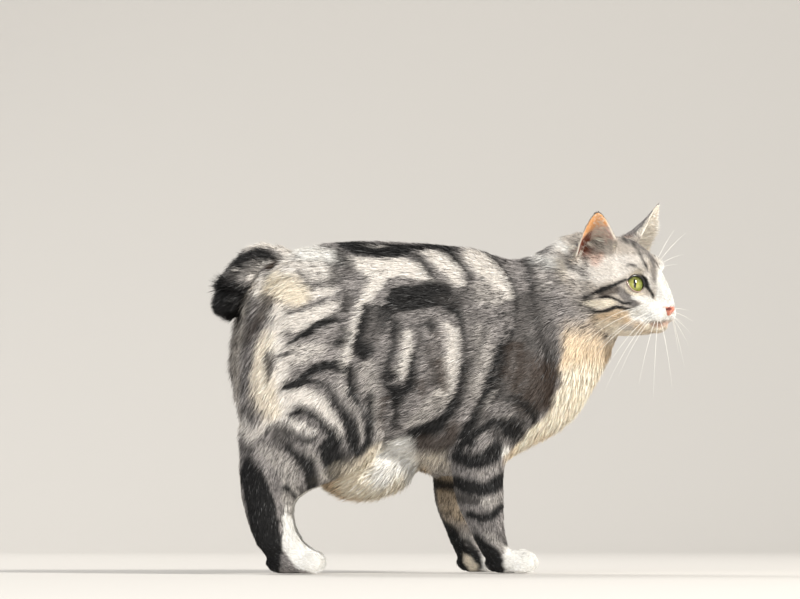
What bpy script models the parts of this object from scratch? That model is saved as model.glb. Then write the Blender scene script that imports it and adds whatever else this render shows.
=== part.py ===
"""Japanese bobtail cat, standing, with its head turned to its right: a still, life-size model.

Frame: metres, +Z up, the floor at z = 0. The cat's body points along +X, its left side is +Y, and the
origin is under the middle of its bounding box. Lengths below are in millimetres until a mesh is made.
The surface is the outline of the coat, out to the tips of the fur.
"""

import math

import bmesh
import bpy
import numpy as np
from mathutils import Matrix, Vector
from mathutils.bvhtree import BVHTree

MM = 0.001
LEFT, RIGHT = 1, -1
SIDE_NAMES = {LEFT: "left", RIGHT: "right"}

# The point of the sizes below that becomes the model's origin
CENTRE = Vector((-4.0, -2.7, 0.0))

# Clear gap between nodes that touch
GAP = 0.3

# Trunk and neck: (point on the back, point on the belly, half width, shift to the left), rump to throat
TRUNK = (
    ((-176, 214), (-175, 176), 22, 0),
    ((-170, 240), (-169, 134), 42, 0),
    ((-152, 262), (-152, 112), 52, 0),
    ((-122, 275), (-120, 102), 58, 0),
    ((-90, 280), (-88, 98), 61, 0),
    ((-60, 281), (-58, 94), 63, 0),
    ((-30, 280), (-28, 88), 64, 0),
    ((0, 278), (2, 83), 62, 0),
    ((26, 275), (30, 84), 58, 0),
    ((46, 269), (60, 101), 54, 0),
    ((64, 267), (86, 116), 49, 0),
    ((79, 272), (109, 134), 45, -2),
    ((91, 280), (125, 159), 42, -4),
    ((103, 287), (137, 182), 39, -8),
    ((118, 290), (148, 203), 34, -14),
)
TRUNK_SQUARENESS = 2.25

# Legs: (rear point, front point, half width, distance out from the middle), hip or shoulder to foot
HIND_LEG = (
    ((-150, 250), (-98, 258), 20, 26),
    ((-171, 225), (-70, 222), 26, 31),
    ((-178, 194), (-54, 174), 28, 33),
    ((-180, 158), (-50, 132), 26, 36),
    ((-179, 128), (-64, 100), 23, 39),
    ((-180, 103), (-96, 82), 20, 40),
    ((-180, 84), (-122, 70), 17.5, 41),
    ((-178, 63), (-134, 60), 15.5, 41),
    ((-173, 44), (-135, 44), 14.5, 41),
    ((-167, 28), (-129, 30), 14, 41),
    ((-158, 15), (-121, 19), 12.5, 41),
)
FORELEG = (
    ((4, 206), (70, 212), 19, 28),
    ((-6, 166), (73, 166), 22, 31),
    ((-7, 132), (62, 130), 21, 33),
    ((-3, 108), (50, 107), 19.5, 35),
    ((0, 90), (45, 89), 18, 36),
    ((2, 72), (44.5, 72), 16.5, 36),
    ((6, 56), (45, 56), 15, 36),
    ((14, 40), (45, 40), 14, 36),
    ((21, 26), (47, 28), 13.5, 36),
    ((27, 15), (50, 19), 12.5, 36),
)
LEG_SQUARENESS = 2.1
# How far each left foot stands ahead of the right one, the height where both legs are level, and how far
# below that height the shift is complete
STRIDE = {"fore": (-13.0, 150.0, 150.0), "hind": (12.0, 170.0, 55.0)}

# Paws: (x, out, z) of the palm with its radii, and of the toes
PAWS = {
    "fore": {"palm": (47, 36, 10), "palm_radii": (19, 14.5, 11), "toe_x": 60.0, "wrist": 24.0},
    "hind": {"palm": (-137, 41, 10.5), "palm_radii": (21, 14, 12), "toe_x": -122.0, "wrist": 27.0},
}
TOE_SPREAD = (-10.6, -3.7, 3.7, 10.6)
TOE_FORWARD = (-3.5, 1.5, 1.5, -3.5)
TOE_RADII = (11.5, 5.2, 8.2)
TOE_HEIGHT = 7.6
# What lies below this height after thinning is laid flat on the floor
SOLE_SNAP = 0.2

# Belly pouch: centre, radii and tilt
POUCH_CENTRE = (-61, 0, 93)
POUCH_RADII = (44, 32, 28)
POUCH_TILT = -18.0

# Tail bob: points of its bent middle line with the radius of the coat there
TAIL_LINE = (
    ((-128, 0, 250), 15.0),
    ((-142, 0, 260), 18.0),
    ((-157, -1, 259.5), 19.5),
    ((-169, -2, 252), 20.5),
    ((-177.5, -3, 240), 21.0),
    ((-179.5, -3, 234), 20.5),
)
# Share of that radius which is the core that the locks grow from
TAIL_CORE = (1.0, 0.98, 0.72, 0.62, 0.6, 0.6)
# Locks of the bob: how many, the seed of their scatter, where along the line they start, their greatest
# width and thickness, how deep the root is sunk and how much their reach varies
TAIL_LOCKS = 60
TAIL_SEED = 7
TAIL_LOCKS_START = 0.36
TAIL_LOCKS_ON_END = 0.36
LOCK_WIDTH, LOCK_THICKNESS = 12.5, 4.0
LOCK_SINK = 4.5
LOCK_VARIATION = 0.05
# Sections along a lock: (share of its length, share of its width, share of its thickness)
LOCK_SECTIONS = ((0.0, 0.8, 1.0), (0.6, 1.0, 0.85), (1.0, 0.26, 0.3))
GOLDEN_ANGLE = math.radians(137.508)

# Head frame: where the skull meets the neck, then the turn to the cat's right and the lean to that side
HEAD_PIVOT = Vector((113.0, 4.0, 240.0))
HEAD_TURN = -38.0
HEAD_LEAN = 3.4

# Soft masses of the head: centre (forward, out, up) and radii; "both" places one on each side
HEAD_MASSES = (
    ("cranium", (38, 0, 8), (40, 34, 38.5), 0),
    ("forehead", (60, 0, 17), (17, 22, 19), 0),
    ("occiput", (14, 0, 0), (30, 34, 36), 0),
    ("cheek", (39, 18, -13), (30, 20.5, 22), 1),
    ("temple", (58, 15, 10), (15, 15, 16), 1),
    ("brow", (61, 14.5, 20), (17, 12.5, 11), 1),
    ("maxilla", (64, 13, -10), (18, 14, 14), 1),
    ("muzzle_pad", (79.5, 7.6, -20.5), (12.5, 9.8, 8.8), 1),
    ("muzzle", (73, 0, -14), (17, 11, 15), 0),
    ("chin", (78, 0, -31), (9.5, 9, 6.5), 0),
    ("jaw", (56, 11, -29), (24, 13, 10), 1),
    ("side", (36, 22, 5), (28, 19, 27), 1),
    ("nose_tip", (87, 0, -15), (7.8, 8.4, 6.6), 0),
)
NOSE_BRIDGE = (((66, 0, 20), 12.0), ((78, 0, 6), 9.0), ((86.0, 0, -6.5), 7.0), ((88.0, 0, -12.0), 6.0))

# Eyes: centre of the globe, its radius, and the way it looks (out from forward, up)
EYE_CENTRE = (62.0, 16.2, 4.2)
EYE_RADIUS = 10.8
EYE_OUT, EYE_UP = 30.0, 8.0
LID_THICKNESS = 1.5
# Opening between the lids: half length, half height above and below, and its slant
EYE_OPENING = (10.0, 8.2, 7.4)
EYE_SLANT = 24.0

# Ears, each by its front and rear base corners and its tip (forward, out, up)
EARS = {
    RIGHT: ((57, 28, 40), (23.5, 42.5, 24), (49.5, 50.5, 66.5)),
    LEFT: ((52, 24, 42), (45, 47, 21), (56, 54, 73)),
}
# Where the ear's root points to inside the skull, depth of each cup, and the wall
EAR_ROOT_POINT = (38, 14, 10)
EAR_ROOT_SHARE = 0.45
EAR_CUPS = {RIGHT: 22.0, LEFT: 28.0}
EAR_WALL = 2.8
# How fast the ear's front and rear edges draw in towards the tip
EAR_EDGE_POWERS = (0.8, 1.3)
# Size of the thin plate that parts it from the head, and how far up it lies as a share of the height
EAR_SLAB = (60.0, 40.0)
EAR_PARTING = 0.26

# Nose leather: corners of its front (out, up), and how far back it reaches
NOSE_TOP, NOSE_MIDDLE, NOSE_FOOT = -11.5, -17.0, -22.5
NOSE_HALF_WIDTH = 7.6
NOSE_BACK = 88.0
NOSTRIL_CENTRE, NOSTRIL_RADII, NOSTRIL_TILT = (93.5, 4.6, -16.4), (4.6, 1.9, 1.3), 20.0

# Triangles kept by each fused form
BODY_TRIANGLES = 3300
HEAD_TRIANGLES = 4400
PAW_TRIANGLES = 440


def clear_scene():
    """Empties the scene."""
    for obj in list(bpy.data.objects):
        bpy.data.objects.remove(obj, do_unlink=True)


def head_frame():
    """Matrix from (forward, left, up) on the head to the body's frame, in millimetres."""
    turn = Matrix.Rotation(math.radians(HEAD_TURN), 4, "Z")
    lean = Matrix.Rotation(math.radians(HEAD_LEAN), 4, "X")
    return Matrix.Translation(HEAD_PIVOT) @ turn @ lean


def to_metres():
    """Matrix from the millimetres above to the model's frame in metres."""
    return Matrix.Scale(MM, 4) @ Matrix.Translation(-CENTRE)


def new_object(name, mesh):
    """An object that holds the mesh, linked to the scene."""
    obj = bpy.data.objects.new(name, mesh)
    bpy.context.scene.collection.objects.link(obj)
    return obj


def from_arrays(name, points, faces):
    """A mesh object from points in the body's millimetres and faces."""
    mesh = bpy.data.meshes.new(name)
    mesh.from_pydata([tuple(p) for p in points], [], [tuple(int(i) for i in f) for f in faces])
    mesh.update()
    return new_object(name, mesh)


def smooth_track(rows, steps):
    """Catmull-Rom curve through the rows of an array, with this many steps between two rows."""
    rows = np.asarray(rows, float)
    ends = np.vstack([2 * rows[0] - rows[1], rows, 2 * rows[-1] - rows[-2]])
    t = np.arange(steps)[:, None] / steps
    spans = []
    for a, b, c, d in zip(ends, ends[1:], ends[2:], ends[3:]):
        spans.append(
            0.5 * (2 * b + (c - a) * t + (2 * a - 5 * b + 4 * c - d) * t**2 + (3 * b - a - 3 * c + d) * t**3)
        )
    return np.vstack([*spans, rows[-1:]])


def ring_faces(rings, around):
    """Faces of a closed tube of rings, with its two ends capped."""
    i, j = np.meshgrid(np.arange(rings - 1), np.arange(around), indexing="ij")
    k = (j + 1) % around
    sides = np.stack([i * around + j, i * around + k, (i + 1) * around + k, (i + 1) * around + j], -1)
    caps = [list(range(around))[::-1], list(range((rings - 1) * around, rings * around))]
    return [*sides.reshape(-1, 4), *caps]


def fix_normals(obj):
    """Turns the faces of a closed mesh outwards."""
    edit = bmesh.new()
    edit.from_mesh(obj.data)
    bmesh.ops.recalc_face_normals(edit, faces=edit.faces)
    edit.to_mesh(obj.data)
    edit.free()
    return obj


def station_loft(name, stations, squareness, side=0, around=28, steps=4, shift=None):
    """A loft through rounded sections, each set by two outline points, a half width and a sideways place."""
    rows = [(*a, *b, half, (side or 1) * out) for a, b, half, out in stations]
    track = smooth_track(rows, steps)
    turn = np.linspace(0, 2 * math.pi, around, endpoint=False)
    power = 2 / squareness
    across = np.sign(np.cos(turn)) * np.abs(np.cos(turn)) ** power
    along = np.sign(np.sin(turn)) * np.abs(np.sin(turn)) ** power
    middle = (track[:, 0:2] + track[:, 2:4]) / 2
    reach = (track[:, 0:2] - track[:, 2:4]) / 2
    x = middle[:, 0:1] + reach[:, 0:1] * along
    z = middle[:, 1:2] + reach[:, 1:2] * along
    y = track[:, 5:6] + track[:, 4:5] * across
    points = np.stack([x, y, z], -1).reshape(-1, 3)
    if shift is not None:
        reach, pivot, swing = shift
        points[:, 0] += reach * np.clip((pivot - points[:, 2]) / swing, -0.15, 1)
    return fix_normals(from_arrays(name, points, ring_faces(len(track), around)))


def ellipsoid(name, centre, radii, tilt=0.0, frame=None, segments=32):
    """A sphere stretched to three radii, tilted about its sideways axis."""
    bpy.ops.mesh.primitive_uv_sphere_add(segments=segments, ring_count=segments // 2, radius=1)
    obj = bpy.context.object
    obj.name = name
    place = Matrix.Translation(Vector(centre)) @ Matrix.Rotation(math.radians(tilt), 4, "Y")
    place = place @ Matrix.Diagonal((*radii, 1))
    obj.data.transform((frame or Matrix.Identity(4)) @ place)
    obj.matrix_world = Matrix.Identity(4)
    return obj


def bent_tube(name, line, frame=None, steps=4, around=20):
    """A tube with round ends along points with radii, each given as (point, radius)."""
    track = smooth_track([(*p, r) for p, r in line], steps)
    pieces = []
    for k, (x, y, z, r) in enumerate(track):
        pieces.append(ellipsoid(f"{name}_{k}", (x, y, z), (r, r, r), frame=frame, segments=around))
    return pieces


def join(name, pieces):
    """One object from several, keeping each of its pieces as a separate shell."""
    edit = bmesh.new()
    for piece in pieces:
        edit.from_mesh(piece.data)
    mesh = bpy.data.meshes.new(name)
    edit.to_mesh(mesh)
    edit.free()
    for piece in pieces:
        bpy.data.objects.remove(piece, do_unlink=True)
    return new_object(name, mesh)


def copy_of(obj, name):
    """A copy with its own mesh."""
    return new_object(name, obj.data.copy())


def evaluated(obj):
    """Replaces the object's mesh by what its modifiers make of it."""
    graph = bpy.context.evaluated_depsgraph_get()
    mesh = bpy.data.meshes.new_from_object(obj.evaluated_get(graph))
    obj.modifiers.clear()
    obj.data = mesh
    return obj


def fused(name, pieces, voxel, smoothing, triangles=0):
    """The pieces grown together into one smooth closed form, thinned to about this many triangles."""
    obj = join(name, pieces)
    remesh = obj.modifiers.new("fuse", "REMESH")
    remesh.mode = "VOXEL"
    remesh.voxel_size = voxel
    soften = obj.modifiers.new("soften", "SMOOTH")
    soften.factor = 0.5
    soften.iterations = smoothing
    evaluated(obj)
    if triangles:
        thin = obj.modifiers.new("thin", "DECIMATE")
        thin.ratio = triangles / (2 * len(obj.data.polygons))
        thin.use_collapse_triangulate = True
        evaluated(obj)
    return obj


def cut(obj, cutters, operation="DIFFERENCE"):
    """Cuts the object with closed meshes, which are removed."""
    for cutter in cutters:
        step = obj.modifiers.new("cut", "BOOLEAN")
        step.operation = operation
        step.object = cutter
        step.solver = "EXACT"
    evaluated(obj)
    for cutter in cutters:
        bpy.data.objects.remove(cutter, do_unlink=True)
    return obj


def loose_parts(obj):
    """The closed shells of an object as separate objects, largest first."""
    edit = bmesh.new()
    edit.from_mesh(obj.data)
    bmesh.ops.triangulate(edit, faces=edit.faces)
    edit.verts.ensure_lookup_table()
    seen, shells = set(), []
    for start in edit.verts:
        if start.index in seen:
            continue
        todo, shell = [start], []
        seen.add(start.index)
        while todo:
            vert = todo.pop()
            shell.append(vert.index)
            for edge in vert.link_edges:
                other = edge.other_vert(vert)
                if other.index not in seen:
                    seen.add(other.index)
                    todo.append(other)
        shells.append(shell)
    points = np.array([v.co for v in edit.verts])
    faces = np.array([[v.index for v in f.verts] for f in edit.faces])
    edit.free()
    made = []
    for shell in sorted(shells, key=len, reverse=True):
        index = np.full(len(points), -1)
        index[shell] = np.arange(len(shell))
        mine = faces[index[faces[:, 0]] >= 0]
        made.append(from_arrays(obj.name, points[shell], index[mine]))
    bpy.data.objects.remove(obj, do_unlink=True)
    return made


def largest(obj, name):
    """The object's largest closed shell, under this name."""
    first, *rest = loose_parts(obj)
    for scrap in rest:
        bpy.data.objects.remove(scrap, do_unlink=True)
    first.name = name
    return first


def middle_of(obj):
    """Mean of the object's vertices."""
    return Vector(np.array([v.co for v in obj.data.vertices]).mean(axis=0))


def block(place):
    """A unit cube moved, turned and sized by a matrix."""
    bpy.ops.mesh.primitive_cube_add(size=1)
    obj = bpy.context.object
    obj.data.transform(place)
    return obj


def slab(point, normal, size, thickness=GAP, depth=None):
    """A flat plate whose middle is at the point, square to the normal: size long, and depth wide sideways."""
    rise = Vector(normal).normalized()
    along = Vector((0, 1, 0)).cross(rise).normalized()
    axes = Matrix((along, rise.cross(along), rise)).transposed().to_4x4()
    return block(Matrix.Translation(Vector(point)) @ axes @ Matrix.Diagonal((size, depth or size, thickness, 1)))


def beyond(point, normal, size, depth):
    """A block that takes away all that lies past a plane, and half a gap before it."""
    normal = Vector(normal).normalized()
    return slab(Vector(point) + normal * (depth - GAP) / 2, normal, size, depth)


def shell_cutter(centre, radii, end):
    """A thin hollow ellipsoid, which parts what lies inside it from the rest, down to a plane."""
    obj = ellipsoid("shell", centre, radii, segments=18)
    wall = obj.modifiers.new("wall", "SOLIDIFY")
    wall.thickness = GAP
    wall.offset = -1
    evaluated(obj)
    point, normal = Vector(end[0]), Vector(end[1]).normalized()
    return cut(obj, [slab(point + normal * 100, normal, 400, 200)])


# Where the nodes part
NECK_PLANE = ((72, 0, 190), (0.93, 0, 0.36))
HEAD_PLANE = ((121, -6, 243), (0.74, -0.42, 0.52))
SHOULDER_SHELL = ((30, 68, 132), (50, 52, 70))
HIP_SHELL = ((-124, 72, 138), (72, 58, 98))
HOCK_PLANE = ((-152, 41, 80), (-0.28, 0, -0.96))
ELBOW_PLANE = ((22, 36, 77), (0.1, 0, -1))
TAIL_PLANE = ((-161.5, -1, 245), (-0.816, 0, 0.579))


def mirrored(point, side):
    """A point given on the left side, moved to this side."""
    return (point[0], side * point[1], point[2])


def stride_at(limb, side, height):
    """How far forward this leg has moved at a height."""
    if side == RIGHT:
        return 0.0
    reach, pivot, swing = STRIDE[limb]
    return reach * max(-0.15, min(1.0, (pivot - height) / swing))


def leg_loft(limb, side):
    """One leg from its root in the trunk to the foot."""
    stations = FORELEG if limb == "fore" else HIND_LEG
    shift = STRIDE[limb] if side == LEFT else None
    return station_loft(f"{limb}_{SIDE_NAMES[side]}", stations, LEG_SQUARENESS, side, 22, 4, shift)


def paw(limb, side):
    """One paw: palm and four toes, standing flat on the floor, cut off at the wrist."""
    sizes = PAWS[limb]
    shift = stride_at(limb, side, 0)
    x, out, z = sizes["palm"]
    pieces = [ellipsoid("palm", (x + shift, side * out, z), sizes["palm_radii"])]
    for spread, forward in zip(TOE_SPREAD, TOE_FORWARD):
        place = (sizes["toe_x"] + forward + shift, side * out + spread, TOE_HEIGHT)
        pieces.append(ellipsoid("toe", place, TOE_RADII))
    pieces.append(leg_loft(limb, side))
    obj = fused("paw", pieces, 1.3, 3)
    floor = slab((x, side * out, -25), (0, 0, 1), 400, 50)
    above = beyond((x, side * out, sizes["wrist"]), (0, 0, 1), 400, 300)
    cut(obj, [floor, above])
    thin = obj.modifiers.new("thin", "DECIMATE")
    thin.ratio = min(1.0, PAW_TRIANGLES / sum(len(p.vertices) - 2 for p in obj.data.polygons))
    evaluated(obj)
    for vertex in obj.data.vertices:
        if vertex.co.z < SOLE_SNAP:
            vertex.co.z = 0.0
    return largest(obj, f"{limb}paw_{SIDE_NAMES[side]}")


def lock(root, lift, lie, length):
    """A flat tapered lock: four-sided sections that leave the root along one way and bend over to another."""
    lift, lie = Vector(lift).normalized(), Vector(lie).normalized()
    side = lie.cross(lift).normalized()
    rings = []
    for share, wide, thick in LOCK_SECTIONS:
        middle = Vector(root) + (lift * (share - share**2 / 2) + lie * share**2 / 2) * length
        normal = side.cross(lift * (1 - share) + lie * share).normalized()
        across, through = side * wide * LOCK_WIDTH / 2, normal * thick * LOCK_THICKNESS / 2
        rings += [middle + across, middle + through, middle - across, middle - through]
    return fix_normals(from_arrays("lock", rings, ring_faces(len(LOCK_SECTIONS), 4)))


def tail_locks():
    """The locks of the bob, set round its line by the golden angle and over its round end."""
    random = np.random.default_rng(TAIL_SEED)
    rows = [(*point, radius, radius * core) for (point, radius), core in zip(TAIL_LINE, TAIL_CORE)]
    track = smooth_track(rows, 8)
    locks = []
    for index in range(TAIL_LOCKS):
        share = (index + 0.5) / TAIL_LOCKS
        on_line = min(share / (1 - TAIL_LOCKS_ON_END), 1.0)
        place = (TAIL_LOCKS_START + (1 - TAIL_LOCKS_START) * on_line) * (len(track) - 1)
        low = min(int(place), len(track) - 2)
        x, y, z, coat, core = track[low] + (track[low + 1] - track[low]) * (place - low)
        along = Vector(track[low + 1][:3] - track[low][:3]).normalized()
        up = Vector((0, 1, 0)).cross(along).normalized()
        turn = index * GOLDEN_ANGLE + random.uniform(-0.2, 0.2)
        radial = up * math.cos(turn) + along.cross(up) * math.sin(turn)
        cap = max(0.0, share - (1 - TAIL_LOCKS_ON_END)) / TAIL_LOCKS_ON_END
        rise = math.asin(min(1.0, cap))
        outward = radial * math.cos(rise) + along * math.sin(rise)
        lift = outward + along * 0.3 * (1 - cap)
        lie = outward * (0.35 + 0.65 * cap) + along * 0.9 * (1 - cap)
        root = Vector((x, y, z)) + outward * (core - LOCK_SINK)
        gain = (lift.normalized().dot(outward) + lie.normalized().dot(outward)) / 2
        reach = (coat - core + LOCK_SINK) * random.uniform(1 - LOCK_VARIATION, 1 + LOCK_VARIATION)
        locks.append(lock(root, lift, lie, reach / gain))
    return locks


def grow_tail(tail):
    """Fuses the locks with the tail's core and keeps what lies behind the plane that parts it."""
    locks = bpy.data.collections.new("locks")
    bpy.context.scene.collection.children.link(locks)
    for piece in tail_locks():
        bpy.context.scene.collection.objects.unlink(piece)
        locks.objects.link(piece)
    union = tail.modifiers.new("locks", "BOOLEAN")
    union.operation = "UNION"
    union.operand_type = "COLLECTION"
    union.collection = locks
    union.solver = "EXACT"
    evaluated(tail)
    for piece in list(locks.objects):
        bpy.data.objects.remove(piece, do_unlink=True)
    bpy.data.collections.remove(locks)
    point, normal = TAIL_PLANE
    cut(tail, [beyond(point, -Vector(normal), 200, 80)])
    return largest(tail, "tail")


def build_body():
    """Trunk, neck, legs and tail fused, then parted by thin cuts into named nodes."""
    pieces = [station_loft("trunk", TRUNK, TRUNK_SQUARENESS, around=40)]
    pieces += [leg_loft(limb, side) for limb in ("fore", "hind") for side in (LEFT, RIGHT)]
    pieces.append(ellipsoid("pouch", POUCH_CENTRE, POUCH_RADII, POUCH_TILT))
    core = [(point, radius * share) for (point, radius), share in zip(TAIL_LINE, TAIL_CORE)]
    pieces += bent_tube("tail", core)
    body = fused("body", pieces, 2.4, 14, BODY_TRIANGLES)
    cutters = [
        slab(*NECK_PLANE, 240),
        beyond(*HEAD_PLANE, 220, 120),
        slab(*TAIL_PLANE, 104, depth=90),
    ]
    seeds = {"torso": (-40, 0, 190), "neck": (100, -2, 225), "tail": (-170, 0, 250)}
    for side in (LEFT, RIGHT):
        name = SIDE_NAMES[side]
        for limb, shell, plane in (("fore", SHOULDER_SHELL, ELBOW_PLANE), ("hind", HIP_SHELL, HOCK_PLANE)):
            x, y, z = mirrored(plane[0], side)
            joint = ((x + stride_at(limb, side, z), y, z), plane[1])
            cutters.append(slab(*joint, 92, depth=62))
            cutters.append(shell_cutter(mirrored(shell[0], side), shell[1], joint))
            wrist = PAWS[limb]["wrist"]
            x = PAWS[limb]["palm"][0] + stride_at(limb, side, 0)
            cutters.append(beyond((x, y, wrist), (0, 0, -1), 74, 60))
        seeds[f"foreleg_upper_{name}"] = (28, side * 45, 125)
        seeds[f"foreleg_lower_{name}"] = (25 + stride_at("fore", side, 50), side * 36, 50)
        seeds[f"thigh_{name}"] = (-120, side * 48, 160)
        seeds[f"shank_{name}"] = (-155 + stride_at("hind", side, 60), side * 41, 60)
    cut(body, cutters)
    nodes = {}
    for part in loose_parts(body):
        name = min(seeds, key=lambda n: (middle_of(part) - Vector(seeds[n])).length)
        if name in nodes:
            bpy.data.objects.remove(part, do_unlink=True)
            continue
        part.name = name
        nodes[name] = part
    nodes["tail"] = grow_tail(nodes["tail"])
    return nodes


def ear_axes(side):
    """Front base, rear base and tip of one ear on the left side, and the way its opening looks."""
    front, rear, tip = (Vector(p) for p in EARS[side])
    normal = (rear - front).cross(tip - (front + rear) / 2).normalized()
    return front, rear, tip, normal


def ear_surface(side):
    """One ear as an open sheet: a cup over the line of its base, drawn in to a round tip."""
    front, rear, tip, normal = ear_axes(side)
    middle, half = (front + rear) / 2, (rear - front) / 2
    rise, t = np.meshgrid(np.linspace(0, 1, 22), np.linspace(-1, 1, 23), indexing="ij")
    rise = rise[..., None]
    t = t[..., None]
    power = np.where(t < 0, *EAR_EDGE_POWERS)
    taper = np.clip(1 - rise**power, 0, 1) ** 0.6 + 0.04
    cup = EAR_CUPS[side] * (1 - rise) ** 1.5 + 0.6
    sheet = np.array(middle) + np.array(tip - middle) * rise + np.array(half) * (t * taper)
    sheet = sheet - np.array(normal) * (cup * (1 - t**2))
    inward = np.array(EAR_ROOT_POINT) - sheet[0]
    root = [sheet[0] + inward * share for share in (EAR_ROOT_SHARE, EAR_ROOT_SHARE / 2)]
    sheet = np.concatenate([root, sheet])
    sheet[..., 1] *= side
    rows, columns = sheet.shape[:2]
    i, j = np.meshgrid(np.arange(rows - 1), np.arange(columns - 1), indexing="ij")
    faces = np.stack([i * columns + j, i * columns + j + 1, (i + 1) * columns + j + 1, (i + 1) * columns + j], -1)
    obj = from_arrays("ear", sheet.reshape(-1, 3), faces.reshape(-1, 4))
    obj.data.transform(head_frame())
    wall = obj.modifiers.new("wall", "SOLIDIFY")
    wall.thickness = EAR_WALL
    wall.offset = 0
    return fix_normals(evaluated(obj))


def eye_axes(side):
    """Centre of the globe and its axes (out of the eye, along the opening, up) in the head's frame."""
    out, up = math.radians(EYE_OUT), math.radians(EYE_UP)
    look = Vector((math.cos(up) * math.cos(out), side * math.cos(up) * math.sin(out), math.sin(up)))
    level = Vector((0, 0, 1)).cross(look).normalized() * side
    slant = Matrix.Rotation(math.radians(EYE_SLANT) * -side, 3, look)
    along = slant @ level
    return Vector(mirrored(EYE_CENTRE, side)), look, along, look.cross(along) * side


def eye_opening(side):
    """An almond prism that opens the lids over the globe."""
    centre, look, along, up = eye_axes(side)
    half, above, below = EYE_OPENING
    turn = np.linspace(0, 2 * math.pi, 28, endpoint=False)
    a = half * np.cos(turn)
    lift = np.where(np.sin(turn) > 0, above, below)
    b = lift * np.sign(np.sin(turn)) * np.abs(np.sin(turn)) ** 1.35
    rings = []
    for depth, grow in ((2.0, 0.72), (9.0, 1.0), (16.0, 1.35)):
        rings.append(
            np.array(centre)
            + np.array(look) * depth
            + np.outer(a * grow, np.array(along))
            + np.outer(b * grow, np.array(up))
        )
    obj = from_arrays("opening", np.vstack(rings), ring_faces(3, 28))
    obj.data.transform(head_frame())
    return fix_normals(obj)


def nose_prism(grow):
    """A block with the nose leather's front outline, grown by this much on each side."""
    outline = (
        (NOSE_HALF_WIDTH + grow, NOSE_TOP + grow),
        (NOSE_HALF_WIDTH + grow, NOSE_MIDDLE + 1.5 - grow),
        (2.2 + grow, NOSE_FOOT + 2.0 - grow),
        (1.6 + grow, NOSE_FOOT - grow),
    )
    loop = [(y, z) for y, z in outline] + [(-y, z) for y, z in reversed(outline)]
    rings = [[(x, y, z) for y, z in loop] for x in (NOSE_BACK - grow, NOSE_BACK + 20)]
    obj = from_arrays("nose_block", np.array(rings).reshape(-1, 3), ring_faces(2, len(loop)))
    obj.data.transform(head_frame())
    return fix_normals(obj)


def mouth_groove(head):
    """A thin tube laid on the head along the line of the mouth, which carves its groove."""
    tree = BVHTree.FromPolygons([v.co for v in head.data.vertices], [p.vertices for p in head.data.polygons])
    frame = head_frame()
    line = [(97, 0, -22.5), (96, 0, -25), (95, 3.5, -27.0), (92, 8, -28.0), (86, 13.5, -28.5), (79, 17.0, -27.5)]
    line += [(75, 18.0, -26.5)]
    cutters = []
    for side in (LEFT, RIGHT):
        curve = bpy.data.curves.new("mouth", "CURVE")
        curve.dimensions = "3D"
        curve.bevel_depth = 0.9
        curve.bevel_resolution = 1
        curve.use_fill_caps = True
        track = smooth_track([mirrored(p, side) for p in line], 3)
        spline = curve.splines.new("POLY")
        spline.points.add(len(track) - 1)
        for point, place in zip(spline.points, track):
            inward = frame @ Vector((60, 0, -24))
            start = frame @ Vector(place)
            start = start + (start - inward).normalized() * 15
            hit = tree.ray_cast(start, (inward - start).normalized())[0]
            point.co = (*(hit or frame @ Vector(place)), 1)
        obj = bpy.data.objects.new("mouth", curve)
        bpy.context.scene.collection.objects.link(obj)
        bpy.context.view_layer.update()
        graph = bpy.context.evaluated_depsgraph_get()
        mesh = bpy.data.meshes.new_from_object(obj.evaluated_get(graph))
        bpy.data.objects.remove(obj, do_unlink=True)
        edit = bmesh.new()
        edit.from_mesh(mesh)
        bmesh.ops.remove_doubles(edit, verts=edit.verts, dist=0.01)
        edit.to_mesh(mesh)
        edit.free()
        cutters.append(fix_normals(new_object("mouth", mesh)))
    return cutters


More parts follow.
